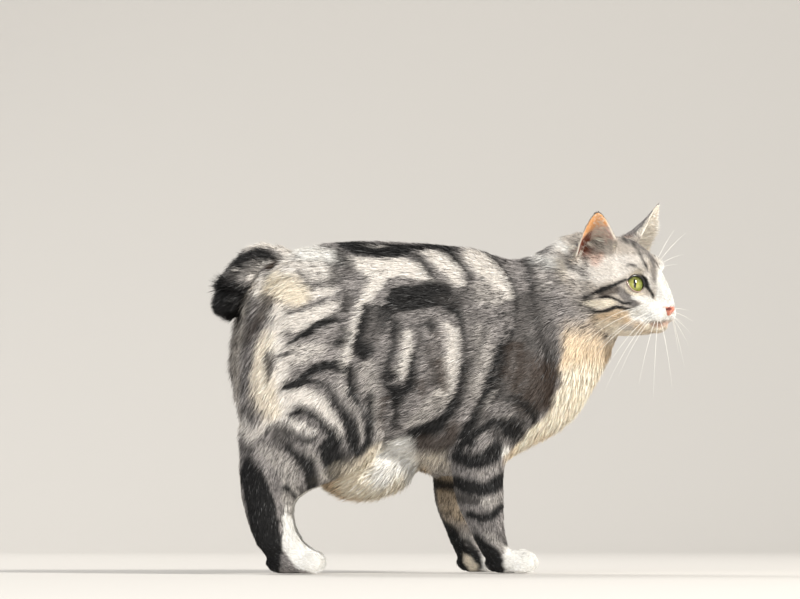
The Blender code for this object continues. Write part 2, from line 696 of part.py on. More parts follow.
def build_head():
    """Skull form, ears, lids, nose leather, mouth and eyes, as named nodes."""
    frame = head_frame()
    pieces = []
    for name, centre, radii, both in HEAD_MASSES:
        for side in (LEFT, RIGHT) if both else (LEFT,):
            pieces.append(ellipsoid(name, mirrored(centre, side), radii, frame=frame))
    pieces += bent_tube("bridge", NOSE_BRIDGE, frame=frame)
    pieces.append(station_loft("neck_stub", TRUNK[9:], TRUNK_SQUARENESS, around=40))
    form = fused("form", pieces, 1.3, 30)
    lids = []
    for side in (LEFT, RIGHT):
        radius = EYE_RADIUS + LID_THICKNESS + GAP
        lids.append(ellipsoid("lid", mirrored(EYE_CENTRE, side), (radius,) * 3, frame=frame))
    ears = [ear_surface(side) for side in (LEFT, RIGHT)]
    whole = fused("head", [form, *lids, *ears], 1.0, 5)
    thin = whole.modifiers.new("thin", "DECIMATE")
    thin.ratio = HEAD_TRIANGLES / (2 * len(whole.data.polygons))
    evaluated(whole)
    cut(whole, [beyond(HEAD_PLANE[0], -Vector(HEAD_PLANE[1]), 260, 160)])
    nodes = {}
    nose = copy_of(whole, "nose")
    cut(nose, [nose_prism(-GAP / 2)], "INTERSECT")
    for side in (LEFT, RIGHT):
        place = mirrored(NOSTRIL_CENTRE, side)
        cut(nose, [ellipsoid("nostril", place, NOSTRIL_RADII, NOSTRIL_TILT, frame, 12)])
    nodes["nose"] = largest(nose, "nose")
    cutters = [nose_prism(GAP / 2), *mouth_groove(whole)]
    for side in (LEFT, RIGHT):
        centre = mirrored(EYE_CENTRE, side)
        cutters.append(eye_opening(side))
        cutters.append(ellipsoid("socket", centre, (EYE_RADIUS + GAP,) * 3, frame=frame, segments=20))
        nodes[f"eye_{SIDE_NAMES[side]}"] = ellipsoid(
            f"eye_{SIDE_NAMES[side]}", centre, (EYE_RADIUS,) * 3, frame=frame, segments=20
        )
        front, rear, tip, normal = ear_axes(side)
        middle = (front + rear) / 2
        up = (rear - front).cross(normal)
        root = middle + (tip - middle) * EAR_PARTING - normal * EAR_CUPS[side] * 0.3
        place = mirrored(root, side)
        rise, along = Vector(mirrored(up, side)).normalized(), Vector(mirrored(rear - front, side)).normalized()
        axes = Matrix((along, rise.cross(along), rise)).transposed().to_4x4()
        plate = Matrix.Diagonal((EAR_SLAB[0], EAR_SLAB[1], GAP, 1))
        cutters.append(block(frame @ Matrix.Translation(place) @ axes @ plate))
    cut(whole, cutters)
    for part in loose_parts(whole):
        middle = frame.inverted() @ middle_of(part)
        name = "head"
        if middle.z > 38:
            name = "ear_left" if middle.y > 0 else "ear_right"
        if name in nodes:
            bpy.data.objects.remove(part, do_unlink=True)
            continue
        part.name = name
        nodes[name] = part
    return nodes


COAT, WHITE, PINK, IRIS = "coat", "white_coat", "nose_leather", "iris"
FINISHES = {
    COAT: ((0.42, 0.41, 0.40), 0.85),
    WHITE: ((0.86, 0.83, 0.77), 0.85),
    PINK: ((0.80, 0.36, 0.30), 0.45),
    IRIS: ((0.48, 0.52, 0.12), 0.12),
}


def finish_of(name):
    """The finish of a node."""
    if name.startswith("eye"):
        return IRIS
    if name == "nose":
        return PINK
    return WHITE if "paw" in name else COAT


def dress(nodes):
    """Moves the nodes into the model's frame, names them and gives each its material."""
    collection = bpy.data.collections.new("bobtail_cat")
    bpy.context.scene.collection.children.link(collection)
    for name, obj in nodes.items():
        obj.data.transform(to_metres())
        obj.name = name
        obj.data.name = name
        colour, roughness = FINISHES[finish_of(name)]
        material = bpy.data.materials.get(finish_of(name)) or bpy.data.materials.new(finish_of(name))
        material.use_nodes = True
        shader = material.node_tree.nodes["Principled BSDF"]
        shader.inputs["Base Color"].default_value = (*colour, 1)
        shader.inputs["Roughness"].default_value = roughness
        obj.data.materials.clear()
        obj.data.materials.append(material)
        obj.data.shade_smooth()
        for owner in list(obj.users_collection):
            owner.objects.unlink(obj)
        collection.objects.link(obj)


def main():
    """Builds every node of the cat."""
    clear_scene()
    nodes = build_body()
    nodes.update(build_head())
    for limb in ("fore", "hind"):
        for side in (LEFT, RIGHT):
            obj = paw(limb, side)
            nodes[obj.name] = obj
    dress(nodes)


main()
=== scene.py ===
"""A life-size Japanese bobtail cat, standing: skin, coat, eyes, nose and whiskers over its solids."""

import logging
import math
from dataclasses import dataclass, field
from enum import Enum

import bpy
import numpy as np
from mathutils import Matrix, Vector


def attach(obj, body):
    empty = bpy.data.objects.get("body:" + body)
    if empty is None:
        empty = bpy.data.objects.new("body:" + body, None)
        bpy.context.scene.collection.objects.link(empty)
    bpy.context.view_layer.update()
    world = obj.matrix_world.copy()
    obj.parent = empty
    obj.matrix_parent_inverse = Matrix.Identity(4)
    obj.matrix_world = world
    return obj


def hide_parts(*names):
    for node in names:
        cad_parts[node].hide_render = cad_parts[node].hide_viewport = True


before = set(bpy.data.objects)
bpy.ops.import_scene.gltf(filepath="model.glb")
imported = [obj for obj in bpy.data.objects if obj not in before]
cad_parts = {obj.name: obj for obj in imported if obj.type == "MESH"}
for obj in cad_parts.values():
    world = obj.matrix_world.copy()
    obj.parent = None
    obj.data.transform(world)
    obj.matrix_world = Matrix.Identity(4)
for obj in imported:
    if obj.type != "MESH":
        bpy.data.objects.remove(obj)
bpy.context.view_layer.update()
LOG = logging.getLogger("cat")
Array = np.ndarray

CENTRE = np.array((-4.0, -2.7, 0.0))
"""Where the model's middle is on the body's own axes, in millimetres."""


# Sums on whole arrays


def smooth(value: Array, start: float, end: float) -> Array:
    """0 at start and 1 at end, with a smooth step (3t² - 2t³) between them."""
    t = np.clip((value - start) / (end - start), 0, 1)
    return t * t * (3 - 2 * t)


def unit(v: Array) -> Array:
    """The same directions with length 1."""
    return v / np.maximum(np.linalg.norm(v, axis=-1, keepdims=True), 1e-9)


def blend(a: Array, b: Array, share: Array) -> Array:
    """a where share is 0, b where it is 1."""
    a, b = np.asarray(a, float), np.asarray(b, float)
    share = np.asarray(share, float)
    if max(a.ndim, b.ndim) > 1 or (share.ndim and (a.ndim == 1 and a.size == 3 or b.ndim == 1 and b.size == 3)):
        share = share[..., None]
    return a + (b - a) * share


def noise(points: Array, size: float, seed: int) -> Array:
    """Value noise from -1 to 1.

    A number is drawn for each corner of a cubic lattice from its place and the seed, and the eight
    numbers round a point are mixed by smooth steps of its place in the cell.

    Args:
        points: places, in millimetres.
        size: the lattice's spacing, in millimetres.
        seed: picks the draw.

    Returns:
        One number for each point.
    """
    q = points / size
    cell = np.floor(q).astype(np.int64)
    part = q - cell
    part = part * part * (3 - 2 * part)
    total = np.zeros(len(points))
    for corner in range(8):
        step = np.array([(corner >> axis) & 1 for axis in range(3)])
        at = cell + step
        mixed = (at[:, 0] * 73856093) ^ (at[:, 1] * 19349663) ^ (at[:, 2] * 83492791) ^ (seed * 2654435761)
        mixed = (mixed ^ (mixed >> 13)) * 1274126177 & 0xFFFFFFFF
        mixed = (mixed ^ (mixed >> 15)) & 0xFFFF
        share = np.where(step == 1, part, 1 - part).prod(axis=1)
        total += share * (mixed / 32767.5 - 1)
    return total


def to_body(points: Array) -> Array:
    """From the model's metres to the body's millimetres."""
    return np.asarray(points, float) * 1000 + CENTRE


def to_model(points: Array) -> Array:
    """From the body's millimetres to the model's metres."""
    return (np.asarray(points, float) - CENTRE) * 0.001


# Frames of reference


@dataclass(frozen=True)
class HeadAxes:
    """Where the head is on the body and how it is turned; its own axes are forward, left and up."""

    pivot: tuple[float, float, float] = (113.0, 4.0, 240.0)
    turn: float = -38.0
    lean: float = 3.4

    def matrix(self) -> Array:
        """Columns are forward, left and up: a lean about forward, then a turn about up."""
        t, n = math.radians(self.turn), math.radians(self.lean)
        turned = np.array(((math.cos(t), -math.sin(t), 0), (math.sin(t), math.cos(t), 0), (0, 0, 1)))
        leant = np.array(((1, 0, 0), (0, math.cos(n), -math.sin(n)), (0, math.sin(n), math.cos(n))))
        return turned @ leant

    def local(self, points: Array) -> Array:
        """From the body's axes to the head's."""
        return (points - np.array(self.pivot)) @ self.matrix()

    def body(self, points: Array) -> Array:
        """From the head's axes to the body's."""
        return np.asarray(points, float) @ self.matrix().T + np.array(self.pivot)

    def direction(self, vectors: Array) -> Array:
        """Directions from the head's axes to the body's."""
        return np.asarray(vectors, float) @ self.matrix().T


@dataclass(frozen=True)
class SideView:
    """The flat side view in which the markings are laid out, in units of 0.85 mm, with its own eye point."""

    turn: float = -8.0
    unit: float = 0.85
    column: float = 445.0
    row: float = 573.0
    middle: tuple[float, float] = (400.0, 299.5)
    distance: float = 4000.0
    eye_height: float = 50.0

    def eye_and_target(self) -> tuple[Array, Array]:
        """The eye point and what it looks at, on the body's axes."""
        a = math.radians(self.turn)
        right = np.array((math.cos(a), math.sin(a), 0.0))
        back = np.array((math.sin(a), -math.cos(a), 0.0))
        target = right * (self.middle[0] - self.column) * self.unit
        target[2] = (self.row - self.middle[1]) * self.unit
        eye = target + back * self.distance
        eye[2] = self.eye_height
        return eye, target

    def place(self, points: Array) -> Array:
        """Columns and rows of points on the body's axes, by a perspective view from the eye point."""
        eye, target = self.eye_and_target()
        ahead = unit(target - eye)
        right = unit(np.cross(ahead, (0.0, 0.0, 1.0)))
        up = np.cross(right, ahead)
        offset = points - eye
        scale = self.distance / self.unit / (offset @ ahead)
        return np.stack((self.middle[0] + (offset @ right) * scale, self.middle[1] - (offset @ up) * scale), 1)


HEAD = HeadAxes()
VIEW = SideView()


@dataclass(frozen=True)
class Ear:
    """One ear on the head's axes, as front base, rear base and tip on the left side, and its side."""

    side: int
    front: tuple[float, float, float]
    rear: tuple[float, float, float]
    tip: tuple[float, float, float]

    def flipped(self, points: Array) -> Array:
        """The points, mirrored to the left side if the ear is the right one."""
        return np.asarray(points, float) * (1, self.side, 1)

    def frame(self) -> tuple[Array, Array, Array, Array]:
        """Middle of the base, rise to the tip, half of the base, and the way that the opening looks."""
        front, rear, tip = (np.array(p, float) for p in (self.front, self.rear, self.tip))
        middle = (front + rear) / 2
        normal = unit(np.cross(rear - front, tip - middle))
        return middle, tip - middle, (rear - front) / 2, normal

    def share(self, q: Array) -> tuple[Array, Array, Array]:
        """How far points lie up the ear, along its base, and out of its opening, as shares and millimetres."""
        middle, rise, half, normal = self.frame()
        offset = self.flipped(q) - middle
        axes = np.linalg.inv(np.stack((rise, half, normal), 1))
        found = offset @ axes.T
        return found[:, 0], found[:, 1], found[:, 2]

    def opening(self) -> Array:
        """The way that the opening looks, on the head's axes."""
        return self.flipped(self.frame()[3])


EARS = (
    Ear(-1, (57, 28, 40), (23.5, 42.5, 24), (49.5, 50.5, 66.5)),
    Ear(1, (52, 24, 42), (45, 47, 21), (56, 54, 73)),
)


@dataclass(frozen=True)
class EyeAxes:
    """One globe on the head's axes, and the almond that its lids leave open."""

    side: int
    centre: tuple[float, float, float] = (62.0, 16.2, 4.2)
    radius: float = 10.8
    out: float = 30.0
    up: float = 8.0
    slant: float = -18.0
    opening: tuple[float, float, float] = (9.2, 6.9, 6.8)

    def middle(self) -> Array:
        """The globe's centre."""
        return np.array(self.centre) * (1, self.side, 1)

    def axes(self) -> tuple[Array, Array, Array]:
        """Directions out of the eye, along its opening, away from the nose, and up."""
        out, up = math.radians(self.out), math.radians(self.up)
        look = np.array((math.cos(up) * math.cos(out), self.side * math.cos(up) * math.sin(out), math.sin(up)))
        level = unit(np.cross((0.0, 0.0, 1.0), look)) * self.side
        turn = math.radians(self.slant) * -self.side
        along = level * math.cos(turn) + np.cross(look, level) * math.sin(turn)
        return look, along, np.cross(look, along) * self.side

    def margin(self, radius: float, count: int) -> Array:
        """The edge of the lids: the almond of the opening carried out to a sphere of this radius.

        The almond narrows with depth, so its scale and the depth on the sphere are found together by
        going from one to the other a few times.
        """
        look, along, up = self.axes()
        half, above, below = self.opening
        turn = np.linspace(0, 2 * math.pi, count, endpoint=False)
        a = half * np.cos(turn)
        b = np.where(np.sin(turn) > 0, above, below) * np.sign(np.sin(turn)) * np.abs(np.sin(turn)) ** 1.35
        depth = np.full(count, radius * 0.7)
        for _ in range(12):
            scale = np.interp(depth, (2.0, 9.0, 16.0), (0.72, 1.0, 1.35))
            depth = np.sqrt(np.maximum(radius**2 - (a * scale) ** 2 - (b * scale) ** 2, 1.0))
        scale = scale[:, None]
        return self.middle() + look * depth[:, None] + along * a[:, None] * scale + up * b[:, None] * scale

    def lids(self) -> tuple[Array, Array]:
        """A hollow cap over the globe with the almond open in it, as a closed grid.

        Each row is the almond's edge turned out from the middle of the eye by a further angle: the rows go
        in along a sphere under the globe's surface and back out along one above it.

        Returns:
            The vertices on the head's axes, and the faces of four corners.
        """
        look, _, _ = self.axes()
        rows = []
        for radius, shares in ((10.0, np.linspace(1, 0, 9)), (13.0, np.linspace(0, 1, 9))):
            offset = self.margin(radius, 72) - self.middle()
            radial = unit(offset - np.outer(offset @ look, look))
            start = np.arccos(np.clip(offset @ look / radius, -1, 1))
            for share in shares:
                angle = (start + (1.38 - start) * share)[:, None]
                rows.append(self.middle() + radius * (look * np.cos(angle) + radial * np.sin(angle)))
        verts = np.concatenate(rows)
        return verts, grid_faces(len(rows) + 1, 72) % len(verts)


EYES = (EyeAxes(-1), EyeAxes(1))
NOSE_TIP = np.array((95.0, 0.0, -10.0))
WING = np.array((86.5, 7.4, -15.8))
WING_HALF = np.array((3.0, 2.4, 1.6))
MOUTH = np.array(
    ((96.5, 0, -23.0), (95.5, 2.0, -26.0), (92, 8, -28.0), (86, 13.5, -28.5), (79, 17.0, -27.5), (75, 18, -26.5))
)


def near_line(points: Array, line: Array) -> Array:
    """Distance from each point to the nearest leg of a line in space."""
    best = np.full(len(points), 1e9)
    for a, b in zip(line[:-1], line[1:]):
        along = b - a
        t = np.clip((points - a) @ along / (along @ along), 0, 1)
        best = np.minimum(best, np.linalg.norm(points - a - t[:, None] * along, axis=1))
    return best


# Zones of the body


@dataclass
class Zones:
    """How far each point belongs to each part of the body, from 0 to 1, from its place and its normal."""

    points: Array
    normals: Array
    local: Array = field(init=False)
    head: Array = field(init=False)

    def __post_init__(self) -> None:
        """Works out the zones, each as a smooth step over a plane, a height or a distance."""
        p, n = self.points, self.normals
        x, y, z = p.T
        q = self.local = HEAD.local(p)
        self.local_normals = n @ HEAD.matrix()
        plane = np.array((0.74, -0.42, 0.52))
        self.head = smooth((p - (121, -6, 243)) @ plane, -11, 9)
        self.mid = np.interp(x, (80, 91, 103, 118, 150), (0, -4, -8, -14, -20))
        self.left = smooth(y - self.mid, 0, 22) * (1 - self.head) + self.head * smooth(q[:, 1], 0, 16)
        self.ear = self.ear_inside = self.ear_rise = self.ear_across = self.ear_edge = np.zeros(len(p))
        for ear in EARS:
            rise, across, off = ear.share(q)
            power = np.where(across > 0, 1.3, 0.8)
            wide = np.clip(1 - np.clip(rise, 0, 1) ** power, 0, 1) ** 0.6 + 0.06
            edge = np.abs(across) / wide
            close = (q[:, 1] * ear.side > 8) & (rise > -0.2) & (edge < 1.16) & (off > -21) & (off < 12)
            here = close * smooth(rise, 0.02, 0.16) * self.head
            self.ear = np.maximum(self.ear, here)
            facing = (self.local_normals @ ear.opening()) > 0.12
            deep = close * smooth(rise, -0.12, 0.0) * (off < -2) * (off > -15) * facing * (np.abs(across) < 0.65)
            inside = np.maximum(here, deep * self.head) * facing * (edge < 1.04) * (off > -17)
            self.ear_inside = np.maximum(self.ear_inside, inside)
            self.ear_rise = np.where(close, rise, self.ear_rise)
            self.ear_across = np.where(close, across, self.ear_across)
            self.ear_edge = np.where(close, edge, self.ear_edge)
        self.face = self.head * smooth(q[:, 0], 32, 56) * (1 - self.ear)
        self.muzzle = self.head * smooth(np.linalg.norm(q - (84, 0, -20), axis=1), 36, 17)
        self.cheek = self.head * smooth(q[:, 0], 52, 30) * smooth(q[:, 2], 8, -14) * smooth(np.abs(q[:, 1]), 16, 30)
        eye = np.minimum(*[np.linalg.norm(q - e.middle(), axis=1) for e in EYES])
        self.eye = self.head * smooth(eye, 17.5, 13.5)
        rump = (p - (-161.5, -1, 245)) @ np.array((-0.816, 0, 0.579))
        self.tail = smooth(rump, -5, 3) * smooth(z, 200, 214) * smooth(x, -140, -150)
        self.fore = smooth(z, 152, 100) * smooth(x, -42, -22)
        self.hind = smooth(z, 190, 115) * smooth(x, -45, -82)
        self.low = np.maximum(self.fore * smooth(z, 105, 80), self.hind * smooth(z, 98, 74))
        self.paw = self.low * smooth(z, 34, 21)
        lean = math.radians(18)
        offset = p - (-61, 0, 93)
        along = offset[:, 0] * math.cos(lean) + offset[:, 2] * math.sin(lean)
        rise = -offset[:, 0] * math.sin(lean) + offset[:, 2] * math.cos(lean)
        self.pouch = smooth(np.sqrt((along / 46) ** 2 + (offset[:, 1] / 36) ** 2 + (rise / 31) ** 2), 1.3, 0.95)
        self.pouch *= (z < 118) * (1 - self.hind * smooth(np.abs(y), 26, 40))
        self.belly = smooth(n[:, 2], -0.25, -0.75) * smooth(z, 150, 125) * (1 - self.low) * (1 - self.head)
        self.rear = smooth(n[:, 0], 0.05, -0.6) * smooth(x, -118, -150) * smooth(z, 105, 135) * (1 - self.tail)
        self.bib = smooth(x, 72, 100) * smooth(n[:, 0] * 0.9 - n[:, 2] * 0.5, 0.15, 0.7) * (1 - self.head)
        inward = -np.sign(y - self.mid) * n[:, 1]
        self.inner = smooth(inward, 0.05, 0.6) * np.maximum(self.fore, self.hind * (z < 120)) * (1 - self.paw)
        self.neck = smooth(x, 62, 84) * (1 - self.head)


# Markings


class Tone(Enum):
    """The colours of coat, ears, nostrils and lips, as light in red, green and blue; the ear's brown hollow and the
    nostrils' openings are painted shade, and the ear's orange is painted light shining through it.
    """

    WHITE = (0.92, 0.90, 0.85)
    PALE = (0.78, 0.735, 0.68)
    SILVER = (0.46, 0.43, 0.40)
    GREY = (0.175, 0.162, 0.155)
    SOOT = (0.055, 0.050, 0.047)
    BROWN = (0.042, 0.028, 0.020)
    BLACK = (0.0065, 0.006, 0.006)
    CREAM = (0.85, 0.76, 0.62)
    TAN = (0.66, 0.49, 0.31)
    PINK = (0.62, 0.36, 0.27)
    EAR_BACK = (0.34, 0.315, 0.305)
    EAR_SKIN = (0.76, 0.58, 0.51)
    # Painted shade: brown in the ear's hollow.
    EAR_HOLLOW_SHADE = (0.17, 0.045, 0.022)
    # Painted light: orange of light shining through the thin ear.
    EAR_PAINTED_BACKLIGHT = (0.84, 0.43, 0.18)
    EAR_SPOT = (0.20, 0.085, 0.055)
    EAR_LINING = (0.80, 0.72, 0.61)
    EAR_RIM = (0.80, 0.74, 0.65)
    NOSTRIL_WING = (0.70, 0.27, 0.19)
    # Painted shade inside the nostril's opening.
    NOSTRIL_SHADE = (0.10, 0.02, 0.015)
    LIPS = (0.30, 0.14, 0.10)


@dataclass(frozen=True)
class Stroke:
    """One marking: a line in the side view with its half width at each point, its tone, strength and softness."""

    tone: Tone
    path: tuple[tuple[float, float, float], ...]
    strength: float = 1.0
    soft: float = 1.3

    def cover(self, at: Array, rough: Array) -> tuple[Array, Array]:
        """How much of each point the stroke covers.

        For each leg of the path, the distance to the leg less the half width there; the least of them,
        made ragged by the noise, is turned to a share by a smooth step.

        Args:
            at: columns and rows in the side view.
            rough: what the noise adds to the distance.

        Returns:
            The indices of the points near the stroke and their shares.
        """
        path = np.array(self.path, float)
        margin = path[:, 2].max() + self.soft + 4
        low, high = path[:, :2].min(0) - margin, path[:, :2].max(0) + margin
        near = np.flatnonzero(((at > low) & (at < high)).all(1))
        spot = at[near]
        best = np.full(len(near), 1e9)
        legs = zip(path[:-1], path[1:]) if len(path) > 1 else ((path[0], path[0]),)
        for a, b in legs:
            along = b[:2] - a[:2]
            t = np.clip((spot - a[:2]) @ along / max(along @ along, 1e-9), 0, 1)
            gap = np.linalg.norm(spot - a[:2] - t[:, None] * along, axis=1) - (a[2] + t * (b[2] - a[2]))
            best = np.minimum(best, gap)
        return near, self.strength * smooth(best + rough[near], self.soft, -self.soft)


W, P, S, G, D, B, K = Tone.WHITE, Tone.PALE, Tone.SILVER, Tone.GREY, Tone.SOOT, Tone.BROWN, Tone.BLACK
C, T = Tone.CREAM, Tone.TAN

